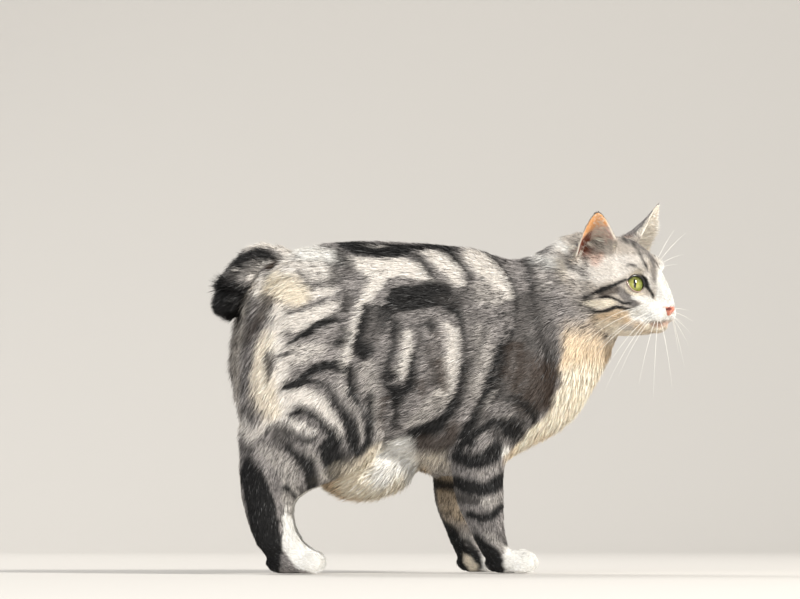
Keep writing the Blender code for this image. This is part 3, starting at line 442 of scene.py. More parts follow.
BODY_MARKS = (
    # Light ground of the rump, the saddle and the flank
    Stroke(W, ((294, 256, 7), (315, 256, 9), (336, 259, 7), (346, 264, 4)), 0.9, 3),
    Stroke(P, ((262, 262, 7), (285, 270, 12), (306, 272, 10), (330, 276, 9)), 0.9, 4),
    Stroke(P, ((272, 312, 9), (296, 322, 11), (316, 316, 9), (334, 306, 6)), 0.85, 5),
    Stroke(P, ((276, 350, 10), (296, 356, 12), (318, 350, 7)), 0.6, 5),
    Stroke(C, ((260, 290, 7), (278, 292, 11), (300, 296, 11)), 0.95, 5),
    Stroke(P, ((306, 268, 5), (318, 267, 5)), 0.8, 3),
    Stroke(P, ((318, 294, 6), (332, 291, 6)), 0.85, 3),
    Stroke(P, ((352, 262, 4), (372, 270, 10), (400, 268, 9), (425, 275, 7), (437, 283, 3))),
    Stroke(P, ((424, 252, 3), (440, 262, 8), (453, 273, 9), (460, 285, 4))),
    Stroke(P, ((470, 258, 7), (487, 268, 12), (502, 282, 9), (508, 297, 5))),
    Stroke(S, ((480, 292, 10), (497, 300, 8))),
    Stroke(P, ((379, 279, 8), (369, 294, 6), (361, 308, 4), (355.5, 322, 3.6), (348, 345, 4), (345, 372, 5))),
    Stroke(P, ((447, 325, 3), (452, 332, 5.5), (454, 348, 6.5), (451, 370, 7), (446, 390, 8), (434, 404, 9)), 0.85),
    Stroke(S, ((434, 405, 9), (420, 417, 8), (412, 424, 5))),
    Stroke(P, ((408, 331, 3), (408, 345, 4.5), (404, 365, 5), (401, 377, 4))),
    Stroke(S, ((368, 368, 9), (372, 388, 8), (377, 405, 4), (379, 440, 3), (377, 455, 5)), 0.8),
    Stroke(P, ((338, 384, 3.4), (350, 401, 2.6), (358, 414, 2.2), (361, 436, 2)), 0.5),
    Stroke(P, ((275, 332, 9), (272, 360, 15), (274, 385, 17), (280, 406, 13)), 0.9, 5),
    Stroke(C, ((268, 338, 6), (264, 370, 10), (266, 396, 12), (272, 414, 9)), 0.75, 4),
    Stroke(P, ((284, 462, 7), (290, 480, 7), (291, 500, 6)), 0.9, 2.5),
    Stroke(P, ((298, 394, 9), (318, 402, 8), (331, 417, 5), (340, 436, 4)), 0.85),
    Stroke(P, ((268, 425, 4), (286, 421, 3.5), (301, 427, 3.5), (314, 433, 3))),
    Stroke(S, ((262, 448, 5), (275, 457, 9), (288, 468, 9), (293, 482, 8), (289, 497, 8))),
    Stroke(S, ((306, 446, 3), (317, 458, 3.5), (324, 476, 4))),
    Stroke(S, ((476, 330, 6), (478, 350, 5), (470, 385, 4)), 0.9),
    Stroke(S, ((486, 330, 3), (488, 352, 4), (482, 375, 5), (474, 395, 4)), 0.9),
    # Tail
    Stroke(D, ((216, 300, 14), (222, 280, 12), (240, 266, 12), (260, 258, 9)), 1, 3),
    Stroke(K, ((220, 298, 16), (238, 296, 15), (236, 314, 17))),
    Stroke(K, ((220, 274, 5), (238, 265, 6), (250, 259, 4.5), (262, 256.5, 4), (274, 258, 4), (281, 262, 2))),
    Stroke(K, ((238, 262, 6), (250, 266, 5))),
    Stroke(P, ((238, 259, 1.5), (248, 253.5, 2), (258, 250, 2.2), (268, 248.5, 2.4), (280, 251, 3.5),
        (290, 256, 5)), 0.95, 1.4),
    Stroke(P, ((248, 278, 4), (257, 265, 4), (258, 274, 5), (262, 286, 5), (259, 298, 4)), 0.9, 2.0),
    Stroke(P, ((231, 268.6, 1), (243, 275.6, 1.5), (254, 276, 1.5)), 0.8, 1),
    Stroke(B, ((268, 271, 4), (276, 267, 4), (281, 262, 2))),
    Stroke(C, ((274, 280, 4), (284, 284, 8), (296, 282, 6)), 0.8, 3),
    # Painted shadow: brown in the crease under the tail.
    Stroke(B, ((272, 304, 4), (266, 316, 5), (256, 330, 5), (248, 340, 6)), 0.75, 2.5),
    Stroke(P, ((230, 332, 5), (231, 360, 6), (235, 390, 6), (240, 416, 5)), 0.9, 3),
    Stroke(K, ((246, 296, 5), (250, 306, 6), (248, 316, 5)), 0.9, 2),
    Stroke(D, ((243, 345, 1), (242, 358, 1.2)), 0.6, 1.5),
    Stroke(D, ((245, 372, 1.2), (246, 388, 1.4)), 0.6, 1.5),
    # Back
    Stroke(K, ((341, 246, 3.6), (352, 250, 6), (380, 253, 6.5), (404, 253, 6), (418, 250, 3.5),
        (440, 249, 2.5), (456, 252, 2.5))),
    Stroke(P, ((368, 247.5, 0.6), (378, 249, 0.8), (388, 250.5, 0.6)), 0.8, 0.8),
    Stroke(D, ((340, 256, 5), (350, 266, 5), (352, 277, 3)), 0.85, 2.5),
    Stroke(K, ((412, 255, 2.5), (423, 264, 3), (430, 274, 3.4), (436, 280, 2))),
    Stroke(K, ((442, 250, 3), (457, 260, 3.5), (465, 271, 2), (471, 280, 1.6))),
    Stroke(K, ((478, 250, 1.5), (494, 260, 2), (502, 270, 2), (511, 283, 2.4), (515, 295, 2.4), (516, 307, 2.4))),
    Stroke(K, ((516, 307, 2.4), (514, 321, 2.4), (511, 335, 3), (506, 350, 4), (501, 369, 4), (497, 386, 5),
        (487, 400, 5))),
    Stroke(G, ((507, 261, 1.2), (511, 274, 1.4)), 0.9),
    Stroke(G, ((506, 257, 2), (526, 257, 2)), 0.6),
    # Rump
    Stroke(D, ((336, 268, 4), (335, 280, 6), (330, 284, 4)), 0.8, 4),
    Stroke(D, ((299, 274, 2.6), (303, 279, 2)), 0.7, 2),
    Stroke(D, ((346, 262, 5), (351, 274, 5)), 0.4, 3),
    Stroke(D, ((297, 258, 0.8), (304, 270, 1.2), (309, 286, 1)), 0.65),
    Stroke(D, ((308, 262, 1.2), (316, 272, 1.8), (320, 288, 1.4)), 0.75),
    Stroke(D, ((318, 258, 0.8), (328, 266, 1.4), (338, 270, 1.2)), 0.7),
    Stroke(K, ((289, 314, 1), (305, 309.5, 1.6), (325, 300, 1.2)), 0.85),
    Stroke(D, ((343, 294, 4), (349, 302, 6), (346, 309, 5)), 0.95),
    Stroke(K, ((288, 346, 1.4), (297, 337, 2.6), (308, 334, 4), (317, 326, 4.4), (330, 320, 4), (343, 321, 3.6))),
    Stroke(K, ((344, 322, 3), (346, 334, 3), (342, 344, 3.5), (333, 340, 2.5))),
    Stroke(K, ((266, 358, 2.2), (281, 356.5, 3.2), (292, 352, 1.6)), 0.9),
    Stroke(D, ((268, 354, 3), (272, 367, 5.5), (270, 378, 3)), 0.85, 1.5),
    Stroke(K, ((285, 389, 3), (298, 384, 5), (311, 371, 5), (325, 365, 6), (338, 365, 6.5), (342, 371, 3.6))),
    # Flank
    Stroke(K, ((397, 299, 11), (408, 298, 12), (420, 298, 11), (432, 297, 11))),
    Stroke(K, ((432, 296, 11), (445, 299, 9), (455, 307, 8), (461, 318, 5))),
    Stroke(D, ((446, 296, 9), (460, 300, 8), (468, 290, 5)), 0.7, 3),
    Stroke(K, ((424, 288, 6), (436, 287, 7), (450, 293, 6)), 0.9, 2),
    Stroke(K, ((398, 308, 5), (410, 309, 4), (424, 306, 4)), 0.8, 2),
    Stroke(D, ((374, 310, 5), (375, 324, 7), (370, 340, 8)), 0.75, 3),
    Stroke(B, ((428, 345, 5), (434, 370, 6), (430, 392, 5)), 0.4, 4),
    Stroke(B, ((446, 393, 5), (438, 403, 5)), 0.35, 4),
    Stroke(K, ((460, 318, 3.5), (463, 332, 2.6), (465, 352, 2.6), (464, 372, 3.4), (461, 388, 4))),
    Stroke(K, ((387, 308, 4), (396, 325, 5), (395, 345, 4), (390, 360, 3.6), (387, 385, 3.2))),
    Stroke(K, ((366, 309, 4.5), (365, 322, 5), (360, 336, 6), (360, 347, 8), (364, 352, 9), (369, 350, 7))),
    Stroke(K, ((379, 309, 3), (384, 321, 3.6), (383, 332, 3)), 0.9),
    Stroke(G, ((375, 332, 4), (378, 344, 4)), 0.6, 2.5),
    Stroke(D, ((418, 319, 2.4), (419, 336, 3), (417, 352, 3)), 0.95),
    Stroke(K, ((430, 324, 5), (436, 333, 3)), 0.9),
    Stroke(B, ((437, 333, 3), (439, 350, 3), (437, 364, 2)), 0.6),
    Stroke(D, ((426, 340, 2), (430, 360, 2.2), (436, 380, 3)), 0.9),
    Stroke(K, ((414, 356, 5), (414, 372, 6), (410, 386, 6))),
    Stroke(B, ((441, 358, 2.6), (443, 372, 5.4), (444, 386, 5)), 0.9),
    Stroke(B, ((421, 380, 3), (423, 397, 2.2)), 0.85),
    Stroke(K, ((396, 372, 4), (398, 378, 3))),
    Stroke(K, ((386, 365, 3), (387, 384, 4), (398, 394, 10), (396, 408, 5), (396, 424, 5))),
    Stroke(B, ((384, 398, 3.4), (382, 414, 2.6), (382, 432, 2), (383, 446, 1.6)), 0.85),
    Stroke(K, ((463, 372, 4), (462, 388, 4.6), (456, 401, 5.5), (449, 413, 5), (438, 423, 6), (424, 429, 7),
        (412, 431, 6))),
    Stroke(K, ((434, 430, 5), (446, 425, 5)), 0.85, 2),
    Stroke(B, ((420, 440, 7), (436, 444, 9), (449, 440, 8), (455, 425, 6)), 0.85, 3),
    Stroke(K, ((446, 448, 4), (448, 456, 3)), 0.8),
    Stroke(G, ((470, 292, 4), (471, 320, 4), (471, 350, 3.4), (473, 370, 3)), 0.9),
    Stroke(D, ((484, 308, 2.6), (488, 322, 3), (481, 341, 3), (474, 360, 3), (470, 378, 3.6), (464, 396, 4)),
        0.7, 1.8),
    Stroke(K, ((503, 303, 1.6), (504, 331, 2), (499, 351, 2.4), (490, 379, 3), (483, 396, 3), (477, 412, 4))),
    # Thigh
    Stroke(K, ((352, 364, 4), (351, 383, 6), (353, 395, 5.5), (360, 406, 4), (364, 418, 2))),
    Stroke(K, ((283, 384, 2), (297, 382, 3), (314, 381, 3.6), (328, 386, 3.6), (336, 402, 4), (344, 413, 6))),
    Stroke(K, ((344, 413, 6), (351, 424, 7), (353, 438, 7), (356, 452, 5), (357, 462, 3))),
    Stroke(K, ((371, 396, 4), (370, 418, 5), (368, 434, 4.5), (365, 448, 3.6))),
    Stroke(K, ((289, 415, 1.6), (304, 409.5, 3.6), (314, 415, 4.6), (323, 423, 4), (330, 430, 4.6), (335, 440, 8))),
    Stroke(K, ((328, 448, 10), (331, 460, 10), (333, 470, 7), (336, 478, 3.4))),
    Stroke(D, ((343, 450, 4), (347, 461, 4.4), (341, 470, 4)), 0.9),
    Stroke(K, ((337, 453, 5), (341, 464, 4.6)), 0.9, 2),
    Stroke(D, ((262, 433, 2), (272, 428, 3), (284, 427, 4), (292, 433, 4)), 0.95),
    Stroke(K, ((292, 434, 3), (305, 440, 3.6), (315, 438, 3.4)), 0.95),
    Stroke(D, ((278, 436, 6), (288, 444, 6)), 0.85, 2.5),
    Stroke(K, ((287, 447, 4), (299, 455, 6), (308, 463, 8), (311, 474, 7), (312, 486, 6))),
    Stroke(P, ((246, 424, 5), (252, 436, 6), (262, 430, 5)), 0.8, 2.5),
    Stroke(D, ((246, 412, 3), (254, 414, 4)), 0.8, 2.5),
    Stroke(D, ((243, 447, 3), (252, 448, 3)), 0.85, 2),
    Stroke(K, ((286, 487, 4.4), (291, 491, 2.2), (296, 497, 1.4))),
    Stroke(K, ((297, 485, 1), (302, 490, 1.2))),
    # Hock and hind foot
    Stroke(K, ((251, 463, 7), (253, 476, 12), (257, 490, 13), (261, 506, 14), (264, 522, 14.5),
        (267, 538, 14), (270, 552, 12))),
    Stroke(K, ((270, 552, 12), (270, 564, 10), (276, 571, 4))),
    Stroke(W, ((288, 510, 5), (290, 530, 7.5), (293, 545, 11), (304, 556, 14), (317, 562, 12), (328, 565, 9))),
    Stroke(W, ((294, 512, 3), (300, 524, 5), (305, 538, 6))),
    Stroke(S, ((288, 500, 4), (289, 512, 4)), 0.8),
    # Neck, and the ground of the shoulder
    Stroke(K, ((526, 258, 3), (531, 273, 3.2), (532, 292, 3.4), (534, 311, 4), (539, 329, 5), (544, 342, 6))),
    Stroke(K, ((544, 342, 6), (549, 356, 7), (552, 372, 7))),
    Stroke(D, ((524, 300, 6), (524, 320, 8), (522, 340, 9)), 0.75, 3),
    Stroke(D, ((500, 385, 5), (508, 397, 5), (514, 405, 4)), 0.7, 3),
    Stroke(K, ((480, 415, 3.4), (474, 428, 4), (468, 442, 4)), 0.85, 2),
    Stroke(P, ((502, 449, 3.6), (508, 456, 4)), 0.8, 2),
    Stroke(D, ((538, 287, 6), (541, 310, 9), (545, 335, 11), (550, 355, 9)), 0.72, 4),
    Stroke(D, ((528, 338, 5), (532, 352, 6)), 0.8, 3),
    Stroke(G, ((545, 300, 7), (550, 325, 8), (556, 345, 5)), 0.85, 3),
    Stroke(W, ((536, 257, 4), (546, 266, 6), (558, 262, 7)), 0.95, 4),
    Stroke(D, ((538, 250, 0.8), (544, 260, 1.1), (547, 274, 0.9)), 0.75),
    Stroke(S, ((542, 270, 4), (547, 288, 5)), 0.8, 2.5),
    Stroke(G, ((549, 265, 1.4), (553, 285, 1.6), (556, 300, 2)), 0.7),
    # Shoulder
    Stroke(B, ((515, 350, 9), (525, 375, 22), (535, 392, 18), (528, 405, 12)), 0.9, 4),
    Stroke(G, ((513, 352, 1.5), (512, 372, 2), (506, 392, 2)), 0.6, 2),
    Stroke(G, ((527, 356, 1.5), (526, 376, 2), (520, 396, 2)), 0.5, 2),
    Stroke(B, ((548, 368, 8), (548, 392, 6), (546, 405, 4), (551, 414, 2)), 1.0, 2),
    Stroke(S, ((496, 392, 2.6), (489, 404, 3), (482, 413, 3)), 0.85),
    Stroke(K, ((500, 391, 1.4), (494, 401, 1.6), (487, 411, 1.4))),
    Stroke(K, ((491, 372, 3.4), (487, 388, 4), (482, 402, 4), (476, 414, 5), (467, 428, 4), (463, 436, 4))),
    Stroke(D, ((502, 386, 5), (506, 397, 5)), 0.8, 2.5),
    Stroke(G, ((500, 405, 4), (506, 414, 7), (516, 411, 4)), 0.8, 2.5),
    Stroke(S, ((508, 414, 2), (514, 417, 3)), 0.7, 2),
    Stroke(D, ((482, 408, 5), (486, 418, 6), (496, 433, 6)), 0.85, 2.5),
    Stroke(K, ((514, 416, 4), (520, 419, 4)), 0.85),
    Stroke(K, ((512, 396, 4), (525, 404, 4), (532, 413, 5), (533, 422, 4), (535, 427, 1.5))),
    Stroke(K, ((493, 421, 5), (508, 426, 8), (518, 428, 7), (523, 436, 2))),
    Stroke(K, ((506, 432, 6), (514, 440, 3), (513, 447, 1.4))),
    Stroke(W, ((500, 447, 3.5), (507, 454, 6), (514, 462, 5)), 1, 1.2),
    Stroke(K, ((464, 438, 3.4), (476, 433, 3.4), (488, 425, 4))),
    Stroke(K, ((459, 445, 4), (473, 444, 3.4))),
    # Foreleg
    Stroke(K, ((458, 455, 7), (474, 461, 8), (490, 456, 8), (496, 444, 6))),
    Stroke(S, ((471, 472, 2.4), (481, 475, 4), (490, 471, 3.0), (498, 466, 2.6)), 0.6),
    Stroke(K, ((456, 481, 6), (466, 485, 8), (481, 489, 7), (492, 485, 8), (501, 478, 7))),
    Stroke(D, ((459, 496, 4), (467, 500, 5), (476, 502, 4)), 0.95),
    Stroke(S, ((484, 502, 4), (493, 503, 6), (500, 497, 4)), 1.0),
    Stroke(K, ((471, 514, 5), (480, 517, 5.2), (492, 515, 4.6), (500, 506, 4))),
    Stroke(G, ((480, 528, 6), (490, 534, 8), (498, 541, 5)), 0.6, 3),
    Stroke(S, ((486, 533, 3), (494, 540, 4), (502, 549, 3.4)), 0.9, 2),
    Stroke(K, ((476, 537, 5), (483, 547, 7.5), (491, 557, 9.5), (497, 566, 9)), 1, 1.8),
    Stroke(D, ((503, 540, 1), (508, 545, 1.4)), 0.8),
)
"""The markings of the trunk, the tail and the legs, in the order in which they cover one another."""

BELLY_MARKS = (
    # Painted shade: tan on the lower rear of the pouch.
    Stroke(T, ((328, 472, 9), (338, 488, 10), (352, 496, 8)), 0.85, 5),
    Stroke(C, ((352, 480, 12), (372, 476, 16), (402, 472, 14)), 1.0, 3),
    Stroke(C, ((350, 478, 9), (366, 470, 13), (376, 452, 9)), 0.9, 3),
    Stroke(W, ((376, 476, 9), (384, 462, 14), (394, 452, 15), (403, 446, 12), (408, 460, 11), (404, 474, 9)),
        0.95, 3),
    Stroke(T, ((425, 466, 5), (446, 466, 5), (456, 461, 4)), 0.7, 3),
    Stroke(B, ((424, 458, 6), (438, 456, 7)), 0.7, 4),
)
# The light underside, painted over the markings of the trunk, with painted shade in tan on the pouch's lower rear.
"""The light underside, painted over the markings of the trunk."""

FAR_FORELEG_MARKS = (
    Stroke(K, ((430, 483, 5), (440, 483.5, 6), (452, 485, 5)), 0.95, 1.5),
    Stroke(D, ((436, 500, 1.0), (443, 501, 1.2)), 0.8, 1),
    Stroke(D, ((443, 512, 1.2), (449, 514, 1.6)), 0.8, 1),
    Stroke(K, ((444, 520, 3), (451, 532, 7), (457, 545, 10), (458, 556, 10), (457, 568, 10)), 1, 2.5),
    Stroke(K, ((468, 542, 4), (474, 552, 5)), 0.9, 1.5),
    Stroke(C, ((464, 553, 1.5), (468, 560, 4), (473, 567, 6)), 0.8, 1.5),
)
"""The markings of the far foreleg's inner side."""

EAR_BASE_MARKS = (
    Stroke(Tone.PINK, ((590, 250, 4), (597, 243, 4), (603, 238, 3)), 0.75, 2),
    Stroke(B, ((583, 252, 3), (585, 244, 3), (588, 237, 3)), 0.8, 2),
)
"""Bare skin that shows through the hair under the ear's opening."""

HEAD_MARKS = (
    Stroke(P, ((575, 272, 9), (600, 272, 12), (622, 266, 11), (640, 262, 7)), 0.85, 4),
    Stroke(P, ((640, 266, 4), (648, 276, 4), (652, 286, 4)), 0.85, 2),
    Stroke(W, ((548, 250, 5), (560, 246, 6), (566, 250, 5)), 0.7, 3),
    Stroke(C, ((560, 264, 5), (564, 280, 4)), 0.75, 3),
    # Tan under the cheek: partly the coat's colour, partly painted shade of the cheek.
    Stroke(T, ((588, 334, 12), (600, 322, 10), (618, 316, 8), (628, 318, 6)), 0.85, 4),
    Stroke(C, ((584, 352, 10), (600, 348, 9)), 0.8, 5),
    Stroke(G, ((566, 300, 8), (570, 320, 9), (576, 334, 6)), 0.6, 5),
    # Painted shade below the ear's base.
    Stroke(G, ((568, 262, 4), (576, 269, 4), (586, 274, 3)), 0.7, 3),
    Stroke(Tone.PINK, ((591, 256, 4), (596, 263, 5), (601, 256, 4)), 0.5, 3),
    Stroke(B, ((584, 254, 3.4), (586, 262, 3.2), (585, 268, 2.4)), 0.85, 1.5),
    Stroke(W, ((577, 254, 1), (579, 261, 1.2), (582, 267, 1)), 0.8, 0.8),
    Stroke(S, ((580, 288, 10), (570, 300, 8)), 0.5, 4),
    Stroke(G, ((578, 298, 4), (573, 308, 6), (576, 320, 5), (583, 328, 3)), 0.75, 3),
    Stroke(G, ((619, 290, 4), (626, 297, 4.6), (632, 302, 4.6), (637, 306, 3.6)), 0.9, 1.6),
    Stroke(P, ((598, 281, 4), (612, 277, 4), (622, 274, 3)), 0.6, 3),
    Stroke(B, ((600, 293.6, 2.4), (608, 292.5, 3.2), (616, 289.4, 3.2)), 0.75, 1.6),
    Stroke(C, ((586, 302, 3), (600, 304.4, 5.2), (613, 302.5, 3.4)), 0.95, 1.0),
    Stroke(K, ((583, 297.6, 2.0), (592, 294.6, 2.3), (603, 289.6, 2.7), (613, 285.6, 2.4), (620, 282.2, 1.8),
        (626, 279.6, 1.3)), 1, 0.8),
    Stroke(K, ((582, 300.6, 1.4), (592, 298.2, 1.1), (600, 297.0, 1.0), (609, 296.8, 1.1), (617, 299.6, 1.2),
        (623, 303.4, 1.1), (631, 303.2, 0.9)), 1, 0.8),
    Stroke(K, ((581, 303, 2.4), (590, 308.2, 1.9), (599, 311.8, 2.1), (606.5, 310.8, 1.8),
        (615.5, 307.0, 1.7), (623, 308.0, 1.6), (634, 309.6, 1.4)), 1, 0.8),
    Stroke(K, ((627.8, 266, 1.2), (631, 264.6, 1.0), (635, 265.6, 1.4)), 0.9, 0.8),
    Stroke(D, ((638.6, 268.8, 0.8), (641, 270.4, 0.8)), 0.7, 0.8),
    Stroke(K, ((638, 250, 0.8), (642.3, 260.4, 0.9), (646, 266.8, 0.8), (648, 272.5, 0.5)), 0.9, 0.8),
    Stroke(G, ((649, 254, 1.6), (652, 262, 1.6), (654.5, 268, 1.4)), 0.9, 1),
    Stroke(G, ((652.5, 270, 2.0), (654.4, 281, 2.0)), 0.75, 1.2),
    Stroke(G, ((612, 231, 4), (628, 240, 5), (640, 243, 5), (647, 247, 3)), 0.8, 3),
    Stroke(K, ((616, 231, 1.0), (622, 236, 1.3), (627, 243, 1.0)), 0.8, 1.2),
    Stroke(K, ((624, 232, 1.0), (631, 239, 1.3), (635, 248, 1.0)), 0.8, 1.2),
    Stroke(K, ((632, 236, 1.0), (638, 243, 1.2), (643, 250, 1.0)), 0.8, 1.2),
    Stroke(G, ((640, 250, 5), (650, 255, 4)), 0.6, 3),
    Stroke(W, ((657.8, 264, 1.0), (659.4, 272, 1.8), (661, 284, 4.4), (664, 296, 8), (666, 304, 8)), 1.0, 1.2),
    Stroke(W, ((633, 297.4, 1.4), (640, 298.4, 2.4), (648, 301, 5), (652, 310, 10), (644, 313, 9),
        (635, 314, 6)), 1, 1.4),
    Stroke(W, ((652, 311, 8), (664, 312, 7)), 1, 1),
    Stroke(C, ((625.6, 287, 1.0), (630, 292.8, 1.2), (637, 295.2, 1.2), (643, 293.6, 1.2)), 1, 0.6),
    Stroke(K, ((640, 274.6, 1.2), (644.4, 278.6, 2.4), (646.2, 284, 3.0), (649, 289.4, 2.0),
        (653.2, 295.6, 1.5), (652.8, 298.2, 0.8)), 1, 0.6),
    Stroke(T, ((638, 326, 4), (648, 332, 5), (656, 332, 4)), 0.6, 3),
    Stroke(C, ((648, 327, 3), (658, 328, 4), (665, 326, 3)), 0.8, 2),
    Stroke(Tone.PINK, ((652, 324, 1.4), (660, 325, 2.4), (668, 322.6, 2.0)), 0.6, 1.6),
    Stroke(W, ((640, 316.6, 2.4), (650, 317.6, 2.6), (660, 317.6, 2.6), (667, 317, 2.2)), 0.95, 1),
)
"""The markings of the head."""


LIE = unit(np.array((-1.0, 0.0, -0.45)))


@dataclass(frozen=True)
class Markings:
    """The colours of skin and coat: broad zones, then strokes laid out in a side view that the far side mirrors."""

    left_fore: tuple[float, float, float] = (-13.0, 150.0, 150.0)
    left_hind: tuple[float, float, float] = (12.0, 170.0, 55.0)
    ground: tuple[float, float, float] = (0.315, 0.292, 0.28)
    head_ground: tuple[float, float, float] = (0.56, 0.505, 0.445)
    breech: tuple[float, float, float] = (0.58, 0.53, 0.47)
    inner_leg: tuple[float, float, float] = (0.62, 0.50, 0.36)
    bib_edge: tuple[tuple[float, float], ...] = (
        (300, 566), (321, 561), (350, 563), (368, 559), (380, 561), (392, 555), (405, 550), (414, 544),
        (420, 536), (427, 529), (436, 520), (441, 514), (449, 506), (458, 502), (470, 504), (482, 508), (500, 512),
    )

    def chart(self, zones: Zones) -> Array:
        """Columns and rows in the side view, with the left half folded on to the right.

        A point on the left of the trunk is mirrored in the trunk's middle, one on the head in the head's
        middle, and a left leg is first drawn back to where the right one stands.
        """
        p = zones.points.copy()
        left = p[:, 1] > zones.mid
        for (reach, pivot, swing), leg in ((self.left_fore, zones.fore), (self.left_hind, zones.hind)):
            shift = reach * np.clip((pivot - p[:, 2]) / swing, -0.15, 1)
            p[:, 0] -= np.where(left, shift * smooth(leg, 0.0, 0.3), 0)
        p[:, 1] = np.where(left, 2 * zones.mid - p[:, 1], p[:, 1])
        q = zones.local.copy()
        q[:, 1] = -np.abs(q[:, 1])
        at = blend(VIEW.place(p), VIEW.place(HEAD.body(q)), zones.head)
        far = zones.left * (1 - zones.head) * (1 - zones.tail)
        at[:, 0] += far * noise(zones.points, 38, 11) * 9
        at[:, 1] += far * noise(zones.points, 31, 12) * 8
        return at

    def ragged(self, points: Array) -> Array:
        """Noise drawn out along the hair, which makes the edges of the strokes uneven."""
        drawn = points - np.outer(points @ LIE, LIE) * 0.72
        return noise(drawn, 2.1, 21) * 1.0 + noise(drawn, 5.0, 22) * 1.5

    def tint(self, zones: Zones) -> Array:
        """The colour at each point.

        Args:
            zones: the points with their zones.

        Returns:
            Red, green and blue for each point, as light.
        """
        p, n, q = zones.points, zones.normals, zones.local
        colour = np.tile(self.ground, (len(p), 1))
        mottled = noise(p, 3.2, 31) * 0.6 + noise(p, 8.0, 32) * 0.4
        streaked = noise(p - np.outer(p @ LIE, LIE) * 0.8, 1.5, 33)
        colour *= (1 + 0.42 * mottled + 0.38 * streaked)[:, None]
        colour = blend(colour, np.array(self.head_ground) * (1 + 0.18 * mottled[:, None]), zones.head)
        at = self.chart(zones)
        rough = self.ragged(p)
        fine = rough * blend(1.0, 0.28, zones.face)
        colour = self.painted(colour, BODY_MARKS, at, rough, 1 - zones.head)
        rear = (1 - zones.head) * (1 - zones.tail) * smooth(-n[:, 0], 0.5, 0.85) * (p[:, 0] < -120)
        rear *= smooth(np.abs(p[:, 1] - zones.mid), 44, 26) * smooth(p[:, 2], 92, 104)
        pale = np.array(self.breech) * (1 + 0.3 * mottled + 0.25 * streaked)[:, None]
        colour = blend(colour, pale, rear * 0.75)
        colour = blend(colour, D.value, rear * smooth(noise(p * (1, 1, 0.4), 7, 34), 0.15, 0.6) * 0.6)
        cuff = smooth(p[:, 2], 96, 106) * smooth(p[:, 2], 122, 112)
        inner = zones.inner * smooth(p[:, 2], 30, 60) * (1 - 0.85 * cuff)
        colour = blend(colour, self.inner_leg, inner * 0.85)
        colour = self.far_foreleg(colour, zones, rough)
        under = zones.belly * (1 - zones.bib) * smooth(at[:, 1], 444, 458)
        colour = blend(colour, C.value, np.maximum(under * 0.9, zones.pouch * smooth(at[:, 1], 438, 456)))
        low = smooth(p[:, 2], 130, 122) * (1 - zones.fore) * (1 - zones.head) * smooth(n[:, 2], 0.6, 0.2)
        belly = np.maximum(low * (1 - smooth(at[:, 0], 345, 335)), zones.pouch)
        colour = self.painted(colour, BELLY_MARKS, at, rough, belly)
        colour = self.bib(colour, zones, at, rough)
        colour = self.painted(colour, HEAD_MARKS, at, fine, zones.head * (1 - zones.ear_inside))
        side = zones.head * (1 - zones.ear_inside) * smooth(np.abs(q[:, 1]), 24, 29)
        side = side * (np.abs(zones.ear_across) < 0.8) * (zones.ear_rise != 0)
        colour = self.painted(colour, EAR_BASE_MARKS, at, fine, side)
        colour = blend(colour, C.value, zones.head * (1 - zones.muzzle) * smooth(n[:, 2], -0.35, -0.8) * 0.8)
        brow = smooth(np.linalg.norm((q - (68, 15, 13)) / (14, 10, 13), axis=1), 1.2, 0.8) * smooth(q[:, 1], 2, 6)
        colour = blend(colour, W.value, zones.head * brow * 0.85)
        colour = self.ears(colour, zones)
        front = np.where(p[:, 0] > -60, smooth(at[:, 0] + rough, 502, 506) * smooth(at[:, 1], 545, 549), 0)
        colour = blend(colour, W.value, front * (p[:, 2] < 36) * (zones.fore > 0.2))
        toes = np.maximum(zones.paw, zones.low * smooth(n[:, 0], -0.1, 0.35))
        toes = toes * smooth(p[:, 0], -158, -150) * (p[:, 0] < -70)
        colour = blend(colour, W.value, toes * (p[:, 1] > zones.mid) * 0.9)
        mirrored = np.stack((q[:, 0], np.abs(q[:, 1]), q[:, 2]), 1)
        lips = near_line(mirrored, MOUTH)
        wing = np.linalg.norm((mirrored - WING) / WING_HALF, axis=1)
        slit = np.linalg.norm((mirrored - WING - (0.8, 0.2, 0.1)) / (2.6, 1.8, 0.7), axis=1)
        # The nostril's slit is painted shade; the wings and the lips are their own colours.
        for tone, share in (
            (Tone.NOSTRIL_WING.value, smooth(wing, 1.15, 0.9)),
            (Tone.NOSTRIL_SHADE.value, smooth(slit, 1.1, 0.8)),
            (Tone.LIPS.value, smooth(lips, 1.3, 0.4) * 0.85),
        ):
            colour = blend(colour, tone, zones.head * share)
        return np.clip(colour, 0.004, 0.95)

    def far_foreleg(self, colour: Array, zones: Zones, rough: Array) -> Array:
        """Paints the marks of the far foreleg's inner side, which are laid out where they are seen."""
        mask = zones.fore * (zones.points[:, 1] > zones.mid + 8) * smooth(zones.normals[:, 1], 0.3, -0.2)
        return self.painted(colour, FAR_FORELEG_MARKS, VIEW.place(zones.points), rough, mask)

    def painted(self, colour: Array, strokes: tuple[Stroke, ...], at: Array, rough: Array, mask: Array) -> Array:
        """The colours with the strokes laid over them in order, where the mask lets them."""
        for stroke in strokes:
            near, share = stroke.cover(at, rough)
            colour[near] = blend(colour[near], stroke.tone.value, share * mask[near])
        return colour

    def bib(self, colour: Array, zones: Zones, at: Array, rough: Array) -> Array:
        """Lays the cream bib over the front of the neck and the chest, up to its toothed edge; its top is turned tan as
        painted shade under the head.
        """
        rows, columns = np.array(self.bib_edge).T
        edge = np.interp(at[:, 1], rows, columns)
        share = smooth(at[:, 0] - edge + rough * 1.3, -2.0, 2.5)
        share *= smooth(at[:, 1], 312, 346) * (zones.points[:, 2] > 75)
        share *= (1 - zones.head) * smooth(zones.points[:, 0], 30, 50)
